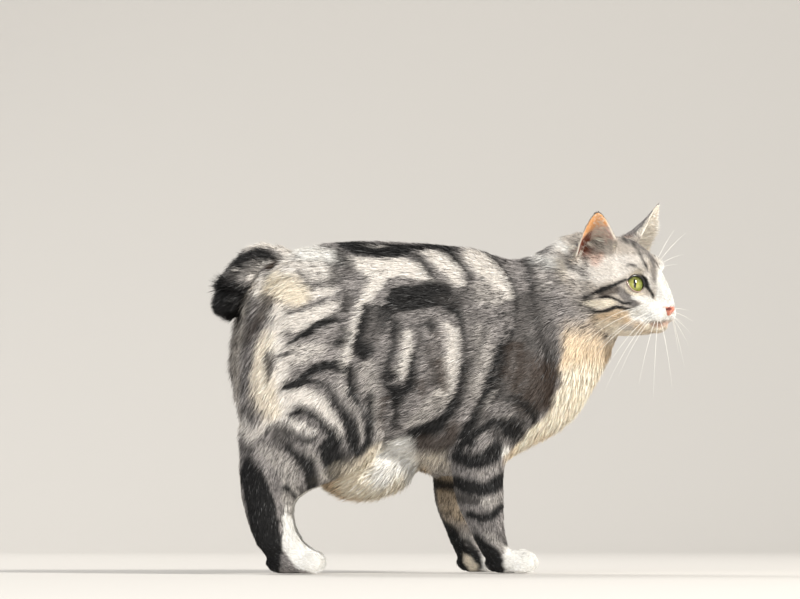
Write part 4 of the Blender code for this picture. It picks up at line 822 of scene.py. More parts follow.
        # Tan at random and further down the chest; the strong tan at the bib's top is painted shade under the head.
        tan_and_head_shade = noise(zones.points, 16, 41) + smooth(at[:, 1], 400, 440) * 0.6 + smooth(at[:, 1], 385, 345) * 1.6
        tan_and_head_shade = smooth(tan_and_head_shade, -0.2, 0.9)
        cream = blend(np.array(C.value) * 1.1, np.array(T.value) * 1.05, tan_and_head_shade * 0.65)
        return blend(colour, cream, share)

    def ears(self, colour: Array, zones: Zones) -> Array:
        """Grey backs with a pale rim, and a pink inside that goes from painted brown shade in its hollow to painted
        orange light shining through near the tip.
        """
        rise, across = zones.ear_rise, zones.ear_across
        p = zones.points
        far = zones.local[:, 1] > 0
        back = np.array(Tone.EAR_BACK.value) * (1 + 0.15 * noise(p, 4.0, 45))[:, None]
        colour = blend(colour, back, zones.ear * (1 - zones.ear_inside) * 0.9)
        pink = np.array(Tone.EAR_SKIN.value) * (1 + 0.18 * noise(p, 2.5, 46))[:, None]
        # Painted shade in the ear's hollow, towards its rear and its foot.
        inside = blend(pink, Tone.EAR_HOLLOW_SHADE.value, smooth(across, -0.10, 0.30) * smooth(rise, 0.66, 0.44))
        # Painted light shining through the ear near its front and its tip.
        inside = blend(inside, Tone.EAR_PAINTED_BACKLIGHT.value, smooth(rise, 0.44, 0.62) * smooth(across, -0.9, -0.4))
        spots = smooth(noise(p, 3.2, 47), 0.05, 0.5) * smooth(across, 0.1, -0.2) * smooth(rise, 0.6, 0.4)
        inside = blend(inside, Tone.EAR_SPOT.value, spots * 0.4)
        inside = blend(inside, Tone.EAR_LINING.value, far * 0.85)
        colour = blend(colour, inside, zones.ear_inside)
        rim = zones.ear * smooth(zones.ear_edge, 0.80, 0.93) * smooth(rise, 0.03, 0.15)
        return blend(colour, Tone.EAR_RIM.value, rim * 0.9)


MARKINGS = Markings()


# The lie of the coat


@dataclass
class Lie:
    """Length, width, lift and way of the hair at each point, how deep the coat is, and how dense."""

    zones: Zones
    length: Array = field(init=False)
    width: Array = field(init=False)
    lift: Array = field(init=False)
    depth: Array = field(init=False)
    density: Array = field(init=False)

    def __post_init__(self) -> None:
        """Goes through the zones, each blending its own value over the last."""
        z = self.zones
        height = z.points[:, 2]
        upper = np.maximum(z.fore, z.hind)
        stages = (
            # share, length, lift in degrees, density for each square millimetre
            (np.ones(len(height)), 10.0, 17, 2.35),
            (z.neck, 11.5, 20, 2.3),
            (upper, 8.5, 18, 2.5),
            (z.low, 5.6, 16, 3.1),
            (z.belly, 12.0, 26, 2.2),
            (z.rear, 14.0, 30, 2.3),
            (z.bib, 13.5, 28, 2.3),
            (z.pouch, 15.0, 38, 2.6),
            (z.paw, 3.2, 15, 4.6),
            (z.head, 7.0, 20, 3.4),
            (z.cheek, 9.5, 26, 2.8),
            (z.face, 4.0, 17, 5.0),
            (z.muzzle, 2.7, 17, 7.0),
            (z.eye, 2.2, 13, 7.0),
            (z.ear, 3.0, 15, 4.5),
            (z.tail, 14.0, 27, 3.4),
        )
        self.length = self.lift = self.density = np.zeros(len(height))
        for share, length, lift, density in stages:
            self.length = blend(self.length, length, share)
            self.lift = blend(self.lift, lift, share)
            self.density = blend(self.density, density, share)
        end = smooth(z.normals @ np.array((-0.6, 0.0, -0.8)), -0.1, 0.8)
        self.lift = self.lift + z.tail * 20 * end
        self.width = 0.56 * np.sqrt(self.length / 12)
        self.depth = np.clip(self.length * np.sin(np.radians(self.lift)) * blend(0.72, 0.5, z.bib), 0.3, 5.5)
        for depth, share in ((0.35, z.eye), (0.5, z.ear), (0.0, z.tail)):
            self.depth = blend(self.depth, depth, share)

    def way(self, seed: int) -> Array:
        """Directions in which the hair runs over the skin.

        Each zone has one direction, which blend and are laid flat on the skin; on the head the hair runs
        away from the nose, and on the tail away from its root. Noise then parts it into locks.
        """
        z = self.zones
        p, n, q = z.points, z.normals, z.local
        flow = np.tile(np.array((-1.0, 0.0, -0.34)), (len(p), 1))
        for course, share in (
            ((-0.55, 0.0, -1.0), z.neck * smooth(p[:, 2], 235, 180)),
            ((-0.40, 0.0, -1.0), z.fore),
            ((-0.55, 0.0, -1.0), z.hind),
            ((-0.10, 0.0, -1.0), z.low),
            ((-0.30, 0.0, -1.0), z.bib),
            ((-0.30, 0.0, -1.0), z.rear),
            ((-0.8, 0.0, -0.5), z.pouch),
            ((1.0, 0.0, -0.45), z.paw),
        ):
            flow = blend(flow, course, share)
        away = unit(q - NOSE_TIP) + np.array((-0.35, 0, 0)) + (q[:, 2:3] < -12) * np.array((-0.2, 0, -0.1))
        flow = blend(flow, HEAD.direction(away), smooth(z.head, 0.0, 0.8))
        for ear in EARS:
            _, rise, half, normal = ear.frame()
            here = z.ear * (q[:, 1] * ear.side > 0)
            over = HEAD.direction(ear.flipped(unit(rise)))
            across = HEAD.direction(ear.flipped(unit(rise) * 0.7 + unit(half) * 0.8 + normal * 0.3))
            flow = blend(flow, over, here * (1 - z.ear_inside))
            flow = blend(flow, across, here * z.ear_inside)
        root = unit(p - (-146, 0, 249))
        flow = blend(flow, root + np.array((-0.5, 0, -0.45)), z.tail)
        locks = np.stack([noise(p, 6.5, seed + axis) for axis in range(3)], 1)
        curls = np.stack([noise(p, 2.6, seed + 7 + axis) for axis in range(3)], 1)
        calm = blend(blend(1.0, 0.45, z.head), 0.4, z.low)[:, None]
        flow = unit(flow) + calm * (0.22 * locks + 0.17 * curls)
        flow -= n * (flow * n).sum(1, keepdims=True)
        return unit(flow)


# Finishes


@dataclass(frozen=True)
class Finish:
    """A surface that takes its colour from the piece's own Tint and its grain from noise on its place."""

    name: str
    roughness: float
    specular: float = 0.5
    grain: float = 0.0
    grain_size: float = 1.0
    mottle: float = 0.0
    wet: float = 0.0
    under: float = 0.0

    def material(self) -> bpy.types.Material:
        """Builds the nodes: tint times a mottling noise, and the same noise as a bump of the grain's height."""
        made = bpy.data.materials.new(self.name)
        made.use_nodes = True
        nodes, links = made.node_tree.nodes, made.node_tree.links
        shader = nodes["Principled BSDF"]
        for socket, value in (
            ("Roughness", self.roughness),
            ("Specular IOR Level", self.specular),
            ("Coat Weight", self.wet),
            ("Coat Roughness", 0.04),
            ("Subsurface Weight", self.under),
            ("Subsurface Scale", 0.002),
        ):
            shader.inputs[socket].default_value = value
        tint = nodes.new("ShaderNodeAttribute")
        tint.attribute_name = "Tint"
        place = nodes.new("ShaderNodeTexCoord")
        noisy = nodes.new("ShaderNodeTexNoise")
        noisy.inputs["Scale"].default_value = 1000 / self.grain_size
        noisy.inputs["Detail"].default_value = 3.0
        links.new(place.outputs["Object"], noisy.inputs["Vector"])
        share = nodes.new("ShaderNodeMapRange")
        share.inputs["To Min"].default_value = 1 - self.mottle
        share.inputs["To Max"].default_value = 1 + self.mottle
        links.new(noisy.outputs["Fac"], share.inputs["Value"])
        tinted = nodes.new("ShaderNodeVectorMath")
        tinted.operation = "MULTIPLY"
        links.new(tint.outputs["Color"], tinted.inputs[0])
        links.new(share.outputs["Result"], tinted.inputs[1])
        links.new(tinted.outputs["Vector"], shader.inputs["Base Color"])
        if self.grain:
            bump = nodes.new("ShaderNodeBump")
            bump.inputs["Distance"].default_value = self.grain * 0.001
            links.new(noisy.outputs["Fac"], bump.inputs["Height"])
            links.new(bump.outputs["Normal"], shader.inputs["Normal"])
        return made


SKIN_FINISH = Finish("cat_skin", 0.8, 0.3, grain=0.5, grain_size=0.9, mottle=0.25)
HAIR_FINISH = Finish("cat_hair", 0.58, 0.28, mottle=0.10, grain_size=2.0)
WHISKER_FINISH = Finish("whisker", 0.3, 0.5)
NOSE_FINISH = Finish("nose_leather", 0.38, 0.5, grain=0.18, grain_size=0.75, mottle=0.10, wet=0.15, under=0.2)
LID_FINISH = Finish("lid_margin", 0.28, 0.5, grain=0.05, grain_size=0.6, wet=0.4)
EYE_FINISH = Finish("eye_globe", 0.12, 0.5, mottle=0.05, grain_size=0.5, wet=1.0)


# Meshes from arrays


def new_mesh(
    name: str, verts: Array, sizes: Array, corners: Array, tint: Array | None, finish: Finish
) -> bpy.types.Object:
    """A mesh object at the origin from whole arrays.

    Args:
        name: the piece's name.
        verts: places in the model's metres.
        sizes: how many corners each face has.
        corners: the vertex of each corner, face after face.
        tint: a colour for each vertex, or None.
        finish: what the piece is made of.

    Returns:
        The object, linked to the scene.
    """
    mesh = bpy.data.meshes.new(name)
    mesh.vertices.add(len(verts))
    mesh.vertices.foreach_set("co", np.ascontiguousarray(verts, np.float32).ravel())
    mesh.loops.add(len(corners))
    mesh.loops.foreach_set("vertex_index", np.ascontiguousarray(corners, np.int32))
    starts = np.concatenate(([0], np.cumsum(sizes)[:-1])).astype(np.int32)
    mesh.polygons.add(len(sizes))
    mesh.polygons.foreach_set("loop_start", starts)
    mesh.polygons.foreach_set("use_smooth", np.ones(len(sizes), bool))
    mesh.update(calc_edges=True)
    if tint is not None:
        set_tint(mesh, tint)
    mesh.materials.append(finish.material())
    made = bpy.data.objects.new(name, mesh)
    bpy.context.scene.collection.objects.link(made)
    return made


def even_mesh(name: str, verts: Array, faces: Array, tint: Array | None, finish: Finish) -> bpy.types.Object:
    """The same for faces that all have as many corners as the array has columns."""
    return new_mesh(name, verts, np.full(len(faces), faces.shape[1]), faces.ravel(), tint, finish)


def read(items: bpy.types.bpy_prop_collection, what: str, columns: int, kind: type) -> Array:
    """One property of all vertices, corners or triangles, in rows of so many columns."""
    values = np.empty(len(items) * columns, kind)
    items.foreach_get(what, values)
    return values.reshape(-1, columns)


def set_tint(mesh: bpy.types.Mesh, tint: Array) -> None:
    """Writes the colours as the mesh's own Tint."""
    layer = mesh.color_attributes.new(name="Tint", type="FLOAT_COLOR", domain="POINT")
    full = np.ones((len(tint), 4), np.float32)
    full[:, :3] = tint
    layer.data.foreach_set("color", full.ravel())


def grid_faces(rows: int, columns: int, closed: bool = True, start: int = 0) -> Array:
    """Four corners for each cell of a grid whose rows are rings, wound so that faces point outwards."""
    i, j = np.meshgrid(np.arange(rows - 1), np.arange(columns if closed else columns - 1), indexing="ij")
    k = (j + 1) % columns
    cells = np.stack((i * columns + j, i * columns + k, (i + 1) * columns + k, (i + 1) * columns + j), -1)
    return cells.reshape(-1, 4) + start


def carried(path: Array, radii: Array, around: int, flat: Array | None = None) -> tuple[Array, Array]:
    """Rings of a round profile carried along a path, with the given radius at each point.

    At each point of the path two directions at right angles to it are found, and the ring is the path
    plus the radius times the cosine and sine of the turn along them.

    Args:
        path: points, in any frame.
        radii: the profile's radius at each point.
        around: points in a ring.
        flat: if given, how thick the profile is along its second direction, as a share.

    Returns:
        The vertices and the faces of four corners.
    """
    way = unit(np.gradient(path, axis=0))
    side = unit(np.cross(way, np.array((0.31, 0.17, 0.93))))
    over = np.cross(way, side)
    turn = np.linspace(0, 2 * math.pi, around, endpoint=False)
    thick = np.ones(len(path)) if flat is None else flat
    ring = (
        side[:, None] * np.cos(turn)[None, :, None]
        + over[:, None] * np.sin(turn)[None, :, None] * thick[:, None, None]
    )
    verts = path[:, None] + ring * np.asarray(radii)[:, None, None]
    return verts.reshape(-1, 3), grid_faces(len(path), around)


def edges(faces: Array, count: int) -> tuple[Array, Array, Array]:
    """Both ends of every face's edges, and how many such ends each vertex has."""
    a, b = faces.ravel(), np.roll(faces, -1, axis=1).ravel()
    return a, b, np.bincount(a, minlength=count) + np.bincount(b, minlength=count)


def neighbours_mean(values: Array, ends: tuple[Array, Array, Array]) -> Array:
    """The mean of the values at each vertex's neighbours along the edges, column by column."""
    a, b, count = ends
    columns = np.atleast_2d(values.T)
    means = [(np.bincount(a, v[b], len(v)) + np.bincount(b, v[a], len(v))) / count for v in columns]
    return np.stack(means, 1).reshape(values.shape)


# Pieces


@dataclass
class Skin:
    """One skin over all the flesh, inside the solids by the depth of the coat."""

    voxel: float = 1.2
    spread: float = 0.35
    rounds: int = 14
    nape: float = 119.0
    nape_rounds: int = 40
    most_triangles: int = 190_000
    toes: tuple[tuple[float, float], ...] = ((60, -36), (47, 36), (-122, -41), (-110, 41))
    flesh: tuple[str, ...] = (
        "head", "neck", "torso", "ear_left", "ear_right", "foreleg_upper_left", "foreleg_upper_right",
        "foreleg_lower_left", "foreleg_lower_right", "forepaw_left", "forepaw_right", "thigh_left", "thigh_right",
        "shank_left", "shank_right", "hindpaw_left", "hindpaw_right",
    )
    tail_line: tuple[tuple[float, float, float, float], ...] = (
        (-128, 0, 250, 14), (-142, 0, 260, 17), (-157, -1, 259.5, 13.5), (-168, -2, 251, 12.8),
        (-176, -3, 238, 14.5), (-176.5, -4, 216, 15.0),
    )

    def gathered(self) -> bpy.types.Object:
        """The flesh nodes' surfaces, each moved out a little to run into the next, and the tail's core."""
        places, faces, start = [], [], 0
        for name in (*self.flesh, "nose"):
            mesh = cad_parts[name].data
            mesh.calc_loop_triangles()
            co = read(mesh.vertices, "co", 3, np.float32).astype(float)
            tri = read(mesh.loop_triangles, "vertices", 3, np.int32)
            keys, back = np.unique(np.round(co * 1e6).astype(np.int64), axis=0, return_inverse=True)
            tri = back.reshape(-1)[tri]
            co = keys / 1e6
            normal = np.cross(co[tri[:, 1]] - co[tri[:, 0]], co[tri[:, 2]] - co[tri[:, 0]])
            out = np.stack([np.bincount(tri.ravel(), np.repeat(normal[:, k], 3), len(co)) for k in range(3)], 1)
            spread = 0.12 if name.startswith("ear") else self.spread
            places.append(to_body(co) + unit(out) * spread)
            faces.append(tri + start)
            start += len(co)
        for eye in EYES:
            verts, quads = eye.lids()
            places.append(HEAD.body(verts))
            faces += [quads[:, (0, 1, 2)] + start, quads[:, (0, 2, 3)] + start]
            start += len(verts)
        line = np.array(self.tail_line)
        steps = np.linspace(0, len(line) - 1, 26)
        path = np.stack([np.interp(steps, np.arange(len(line)), line[:, k]) for k in range(4)], 1)
        ends = np.array((0.05, 0.5, 0.8))
        radii = path[:, 3] * np.concatenate((ends, np.ones(20), ends[::-1]))
        verts, quads = carried(path[:, :3], radii, 20)
        places.append(verts)
        quads = quads + start
        tris = np.concatenate([np.concatenate(faces), quads[:, (0, 1, 2)], quads[:, (0, 2, 3)]])
        caps = start + np.stack((np.zeros(18, int), np.arange(2, 20), np.arange(1, 19)), 1)
        last = start + (len(path) - 1) * 20
        caps_end = last + np.stack((np.zeros(18, int), np.arange(1, 19), np.arange(2, 20)), 1)
        tris = np.concatenate((tris, caps, caps_end))
        return even_mesh("skin_parts", to_model(np.concatenate(places)), tris, None, SKIN_FINISH)

    def remeshed(self, source: bpy.types.Object) -> tuple[Array, Array]:
        """One even surface round all of them, as vertices in millimetres and faces of four corners."""
        even = source.modifiers.new("even", "REMESH")
        even.mode = "VOXEL"
        even.voxel_size = self.voxel * 0.001
        graph = bpy.context.evaluated_depsgraph_get()
        mesh = bpy.data.meshes.new_from_object(source.evaluated_get(graph))
        co = read(mesh.vertices, "co", 3, np.float32)
        quads = read(mesh.loops, "vertex_index", 1, np.int32).reshape(-1, 4)
        bpy.data.meshes.remove(mesh)
        bpy.data.objects.remove(source)
        return self.largest(to_body(co), quads)

    def largest(self, co: Array, quads: Array) -> tuple[Array, Array]:
        """Only the largest closed surface: each vertex takes the least label along its edges until none changes."""
        label = np.arange(len(co))
        a, b, _ = edges(quads, len(co))
        while True:
            least = label.copy()
            np.minimum.at(least, a, label[b])
            np.minimum.at(least, b, label[a])
            least = least[least]
            least = least[least]
            if (least == label).all():
                break
            label = least
        names, counts = np.unique(label, return_counts=True)
        keep = label == names[counts.argmax()]
        index = np.cumsum(keep) - 1
        return co[keep], index[quads[keep[quads[:, 0]]]]

    def relaxed(self, co: Array, quads: Array) -> Array:
        """Evens out the facets: each vertex goes part of the way to its neighbours' mean, then a little back."""
        ends = edges(quads, len(co))
        first = Zones(co, np.tile((0.0, 0.0, 1.0), (len(co), 1)))
        gentle = 1 - 0.72 * np.maximum(np.maximum(first.face, first.ear), first.paw * 0.7)
        for turn in range(self.rounds):
            step = 0.55 if turn % 2 == 0 else -0.56
            co = co + (neighbours_mean(co, ends) - co) * (step * gentle)[:, None]
        return co

    def eased(self, co: Array, quads: Array) -> Array:
        """Evens out the nape, where the skull meets the neck: each vertex goes towards its neighbours' mean."""
        ends = edges(quads, len(co))
        first = Zones(co, np.tile((0.0, 0.0, 1.0), (len(co), 1)))
        near = smooth(np.abs(co[:, 0] - self.nape), 16, 8) * smooth(co[:, 2], 246, 258)
        share = near * (1 - smooth(first.ear, 0.0, 0.2))
        for _ in range(self.nape_rounds):
            co = co + (neighbours_mean(co, ends) - co) * (0.8 * share)[:, None]
        return co

    def toed(self, co: Array) -> Array:
        """Rounds the paws: the toes are made taller towards their tips."""
        made = co.copy()
        for x, y in self.toes:
            near = (np.abs(co[:, 0] - x) < 26) & (np.abs(co[:, 1] - y) < 22) & (co[:, 2] < 37)
            share = near * smooth(co[:, 0], x - 9, x + 5) * smooth(co[:, 2], 32, 12)
            made[:, 2] = made[:, 2] * (1 + 0.30 * share)
        return made

    def grooves(self, co: Array) -> Array:
        """How deep the skin is drawn in between the toes, in three lines for each paw."""
        depth = np.zeros(len(co))
        for x, y in self.toes:
            along = smooth(co[:, 0], x - 7, x + 1) * (np.abs(co[:, 0] - x) < 26) * smooth(co[:, 2], 30, 24)
            for line in (-7.15, 0.0, 7.15):
                depth += 1.3 * along * np.exp(-(((co[:, 1] - y - line) / 1.15) ** 2))
        return depth

    def normals(self, co: Array, quads: Array) -> Array:
        """Vertex normals: the sum of the cross products of the diagonals of the faces round each vertex."""
        across = np.cross(co[quads[:, 2]] - co[quads[:, 0]], co[quads[:, 3]] - co[quads[:, 1]])
        return unit(np.stack([np.bincount(quads.ravel(), np.repeat(across[:, k], 4), len(co)) for k in range(3)], 1))

    def sunk(self, co: Array, quads: Array) -> Array:
        """The surface moved in by the depth of the coat, with the line of the mouth pressed in."""
        normal = self.normals(co, quads)
        zones = Zones(co, normal)
        depth = Lie(zones).depth + self.spread
        q = zones.local.copy()
        q[:, 1] = np.abs(q[:, 1])
        lips = near_line(q, MOUTH)
        depth = depth + zones.head * 0.9 * np.exp(-((lips / 1.1) ** 2))
        depth = depth - zones.head * 0.35 * np.exp(-(((lips - 2.6) / 1.2) ** 2))
        bed = smooth(q[:, 0], 82, 86) * smooth(q[:, 1], 7.8, 6.2)
        bed = bed * smooth(q[:, 2], -14.2, -15.4) * smooth(q[:, 2], -23.0, -21.4)
        depth = depth + zones.head * bed * 3.2
        depth = depth + zones.head * (np.abs(q[:, 1]) < 2.0) * (q[:, 0] > 88) * (q[:, 2] < -21) * 0.5
        ends = edges(quads, len(co))
        coarse = depth
        for _ in range(10):
            coarse = neighbours_mean(coarse, ends)
        depth = blend(coarse, depth, zones.face) + self.grooves(co)
        made = co - normal * depth[:, None]
        made[:, 2] = np.maximum(made[:, 2], 0.25)
        return made

    def build(self) -> bpy.types.Object:
        """The finished skin, thinned on the body and in full on the head, with its tint."""
        co, quads = self.remeshed(self.gathered())
        co = self.toed(self.relaxed(co, quads))
        co = self.eased(self.sunk(co, quads), quads)
        made = even_mesh("skin", to_model(co), quads, None, SKIN_FINISH)
        zones = Zones(co, self.normals(co, quads))
        group = made.vertex_groups.new(name="plain")
        fine = np.maximum(zones.head, zones.paw * 0.5)
        for level in range(5):
            inside = np.flatnonzero((fine >= level / 5) & (fine < (level + 1) / 5 + (level == 4)))
            group.add(inside.tolist(), 1 - level / 4, "REPLACE")
        thin = made.modifiers.new("thin", "DECIMATE")
        thin.ratio = min(1.0, self.most_triangles / (2 * len(quads)))
        thin.vertex_group = "plain"
        thin.vertex_group_factor = 4.0
        graph = bpy.context.evaluated_depsgraph_get()
        mesh = bpy.data.meshes.new_from_object(made.evaluated_get(graph))
        made.modifiers.clear()
        made.vertex_groups.clear()
        made.data = mesh
        mesh.name = "skin"
        mesh.polygons.foreach_set("use_smooth", np.ones(len(mesh.polygons), bool))
        co, normal, _ = surface_of(made)
        zones = Zones(co, normal)
        tint = MARKINGS.tint(zones)
        bare = zones.ear_inside[:, None]
        set_tint(mesh, tint * (0.72 + 0.28 * bare))
        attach(made, "root")
        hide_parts(*self.flesh, "tail")
        return made


def surface_of(obj: bpy.types.Object) -> tuple[Array, Array, Array]:
    """Vertices in the body's millimetres, their normals and the triangles of a mesh object."""
    mesh = obj.data
    mesh.calc_loop_triangles()
    co = read(mesh.vertices, "co", 3, np.float32)
    normal = read(mesh.vertices, "normal", 3, np.float32)
    return to_body(co), normal.astype(float), read(mesh.loop_triangles, "vertices", 3, np.int32)


@dataclass(frozen=True)
class Region:
    """A piece of the coat, and the sphere or cylinder on which its part of the skin is unrolled."""

    name: str
    centre: tuple[float, float, float]
    axis: tuple[float, float, float]
    front: tuple[float, float, float]
    ball: bool = False

    def unrolled(self, points: Array) -> Array:
        """Places on the unrolled skin, from 0 to 1: the turn about the axis, and the height or the angle from it."""
        axis = unit(np.array(self.axis, float))
        front = np.array(self.front, float)
        front = unit(front - axis * (front @ axis))
        side = np.cross(axis, front)
        offset = points - np.array(self.centre)
        turn = np.arctan2(offset @ side, offset @ front) / (2 * math.pi) + 0.5
        high = offset @ axis
        if self.ball:
            high = -np.arccos(np.clip(high / np.linalg.norm(offset, axis=1), -1, 1))
        high = (high - high.min()) / max(float(np.ptp(high)), 1e-6)
        turn = (turn - turn.min()) / max(float(np.ptp(turn)), 1e-6)
        return 0.01 + 0.98 * np.stack((turn, high), 1)


REGIONS = (
    Region("coat_face", (140, -18, 235), (0, 0, 1), (0.79, -0.61, 0), True),
    Region("coat_crown", (140, -18, 235), (0, 0, 1), (0.79, -0.61, 0), True),
    Region("coat_ears", (145, -20, 262), (0, 0, 1), (0.79, -0.61, 0), True),
    Region("coat_neck", (100, -2, 215), (0.5, 0, 1), (1, 0, 0)),
    Region("coat_flank_right", (0, 0, 180), (1, 0, 0), (0, -1, 0)),
    Region("coat_flank_left", (0, 0, 180), (1, 0, 0), (0, 1, 0)),
    Region("coat_hind_right", (-130, -38, 120), (0, 0, 1), (0, -1, 0)),
    Region("coat_hind_left", (-122, 38, 120), (0, 0, 1), (0, 1, 0)),
    Region("coat_fore_right", (25, -36, 80), (0, 0, 1), (0, -1, 0)),
    Region("coat_fore_left", (14, 36, 80), (0, 0, 1), (0, 1, 0)),
    Region("coat_tail", (-165, -2, 248), (0.5, 0, 1), (-1, 0, 0), True),
)


@dataclass
class Coat:
    """The hair, as flat tapered tufts rooted in the skin."""

    skin: bpy.types.Object
    seed: int = 5
    most_triangles: int = 198_000
    thin: float = 1.0
    patch: float = 0.003

    def regions(self, zones: Zones) -> Array:
        """The number of the region that each point belongs to."""
        p, q = zones.points, zones.local
        right = p[:, 1] < zones.mid
        number = {region.name: index for index, region in enumerate(REGIONS)}
        code = np.where(right, number["coat_flank_right"], number["coat_flank_left"])
        for here, one, other in (
            (p[:, 0] > 74, "coat_neck", "coat_neck"),
            ((p[:, 0] < -92 + (p[:, 2] - 150) * 0.25) & (p[:, 2] < 232), "coat_hind_right", "coat_hind_left"),
            (zones.fore > 0.25, "coat_fore_right", "coat_fore_left"),
            (zones.tail > 0.4, "coat_tail", "coat_tail"),
            (zones.head > 0.5, "coat_crown", "coat_crown"),
            ((zones.head > 0.5) & (q[:, 0] > 44), "coat_face", "coat_face"),
            (zones.ear > 0.45, "coat_ears", "coat_ears"),
        ):
            code = np.where(here, np.where(right, number[one], number[other]), code)
        return code

    def roots(self) -> tuple[Array, Array]:
        """Random roots on the skin, as many on each triangle as its area times the density there asks."""
        draw = np.random.default_rng(self.seed)
        co, normal, tris = surface_of(self.skin)
        density = Lie(Zones(co, normal)).density * self.thin
        a, b, c = (co[tris[:, k]] for k in range(3))
        area = np.linalg.norm(np.cross(b - a, c - a), axis=1) / 2
        wanted = area * density[tris].mean(1)
        counts = np.floor(wanted + draw.random(len(tris))).astype(int)
        of = np.repeat(np.arange(len(tris)), counts)
        s, t = np.sqrt(draw.random(len(of))), draw.random(len(of))
        shares = np.stack((1 - s, s * (1 - t), s * t), 1)
        place = (co[tris[of]] * shares[..., None]).sum(1)
        out = unit((normal[tris[of]] * shares[..., None]).sum(1))
        return place, out

    def bare(self, zones: Zones) -> Array:
        """Where no hair grows: the nose leather, the globes, the lips' edge, the soles."""
        q = zones.local
        nose = (q[:, 0] > 87.2) & (np.abs(q[:, 1]) < 8.4 - 0.45 * np.clip(-12 - q[:, 2], 0, 12))
        nose &= (q[:, 2] < -13.9) & (q[:, 2] > -23.5)
        mirrored = q.copy()
        mirrored[:, 1] = np.abs(mirrored[:, 1])
        lips = near_line(mirrored, MOUTH) < 1.05
        globe = np.zeros(len(q), bool)
        for eye in EYES:
            offset = q - eye.middle()
            far = np.linalg.norm(offset, axis=1)
            globe |= far < eye.radius + 0.5
            edge = eye.margin(eye.radius + 1.5, 48)
            edge = np.vstack((edge, edge[:1]))
            globe |= (far < 17) & (near_line(q, edge) < 1.1)
        sole = (zones.points[:, 2] < 3.2) & (zones.normals[:, 2] < -0.5)
        wing = np.linalg.norm((mirrored - WING) / WING_HALF, axis=1) < 1
        return (nose | wing | lips | globe) & (zones.head > 0.5) | sole

    def build(self) -> list[bpy.types.Object]:
        """All the pieces of the coat."""
        draw = np.random.default_rng(self.seed + 1)
        place, out = self.roots()
        zones = Zones(place, out)
        keep = ~self.bare(zones)
        lining = np.where(zones.local[:, 1] > 0, 0.7, np.where(zones.ear_across < 0.1, 0.20, 0.05))
        keep &= (zones.ear_inside < 0.5) | ((draw.random(len(place)) < lining) & (zones.ear_edge < 0.82))
        place, out = place[keep], out[keep]
        zones = Zones(place, out)
        lie = Lie(zones)
        way = lie.way(50)
        tints = [
            MARKINGS.tint(Zones(place + way * (lie.length * share)[:, None] + draw.normal(0, 0.3, place.shape), out))
            for share in (0.12, 0.72)
        ]
        code = self.regions(zones)
        made = []
        for number, region in enumerate(REGIONS):
            chosen = np.flatnonzero(code == number)
            long = region.name in ("coat_tail", "coat_neck")
            most = self.most_triangles // (3 if long else 2)
            if len(chosen) > most:
                LOG.info("%s: %d roots thinned to %d", region.name, len(chosen), most)
                chosen = draw.permutation(chosen)[:most]
            if len(chosen):
                made.append(self.piece(region, chosen, zones, lie, way, tints, draw, long))
        return made

    def piece(
        self,
        region: Region,
        chosen: Array,
        zones: Zones,
        lie: Lie,
        way: Array,
        tints: list[Array],
        draw: np.random.Generator,
        long: bool,
    ) -> bpy.types.Object:
        """One region's tufts.

        A tuft starts a little under the skin, leaves it at the lift's angle and bends back along the lie:
        its middle line is root + length (s (1 - s/2) start + s²/2 end), and its two edges stand off that line
        by half the width. A short tuft is two triangles, which meet where it is widest; a long one has a
        cell of four corners between its root and its tip. Each is turned a little about its line at random.

        Args:
            region: the piece and its unrolled skin.
            chosen: the indices of its roots.
            zones: all roots.
            lie: length, width and lift at all roots.
            way: the direction of the hair at all roots.
            tints: the colours at the foot and near the tip of all tufts.
            draw: the source of random numbers.
            long: whether the tufts have the extra cell.

        Returns:
            The mesh object.
        """
        count = len(chosen)
        p, n, w = zones.points[chosen], zones.normals[chosen], way[chosen]
        length = lie.length[chosen] * draw.uniform(0.70, 1.25, count)
        width = lie.width[chosen] * draw.uniform(0.7, 1.3, count) * (1.0 if long else 1.25)
        lift = np.radians(lie.lift[chosen]) * draw.uniform(0.55, 1.5, count)
        inside = zones.ear_inside[chosen] > 0.5
        length = np.where(inside, length * (2.4 - 1.7 * smooth(zones.ear_rise[chosen], 0.5, 0.9)), length)
        lift = np.where(inside, np.radians(36), lift)
        roll = draw.normal(0, 0.38, count)[:, None]
        face = unit(n * np.cos(roll) + np.cross(w, n) * np.sin(roll))
        side = unit(np.cross(w, face))
        begin = w * np.cos(lift * 1.35)[:, None] + n * np.sin(lift * 1.35)[:, None]
        end = w * np.cos(0.3 * lift)[:, None] + n * np.sin(0.3 * lift)[:, None]
        end = unit(end + side * draw.normal(0, 0.16, count)[:, None])
        if long:
            steps, stands = np.array((0, 0, 0.5, 0.5, 1)), np.array((-0.4, 0.4, -0.5, 0.5, 0))
            one, sizes = np.array((0, 1, 3, 2, 2, 3, 4)), (4, 3)
        else:
            steps, stands = np.array((0, 0.42, 0.42, 1)), np.array((0, -0.5, 0.5, 0))
            one, sizes = np.array((0, 2, 1, 1, 2, 3)), (3, 3)
        s = steps[None, :, None]
        bent = s * (1 - s / 2) * begin[:, None] + s * s / 2 * end[:, None]
        verts = (p - n * 0.25)[:, None] + length[:, None, None] * bent
        verts = verts + side[:, None] * (width[:, None] * stands)[..., None]
        verts[..., 2] = np.maximum(verts[..., 2], 0.15)
        corners = (one[None, :] + np.arange(count)[:, None] * len(steps)).ravel()
        shade = np.exp(0.17 * draw.normal(0, 1, (count, 1, 1)))
        foot, tip = (tint[chosen][:, None] for tint in tints)
        colours = (foot + (tip - foot) * np.clip((s - 0.1) / 0.7, 0, 1)) * shade
        light = tip.mean(2, keepdims=True)
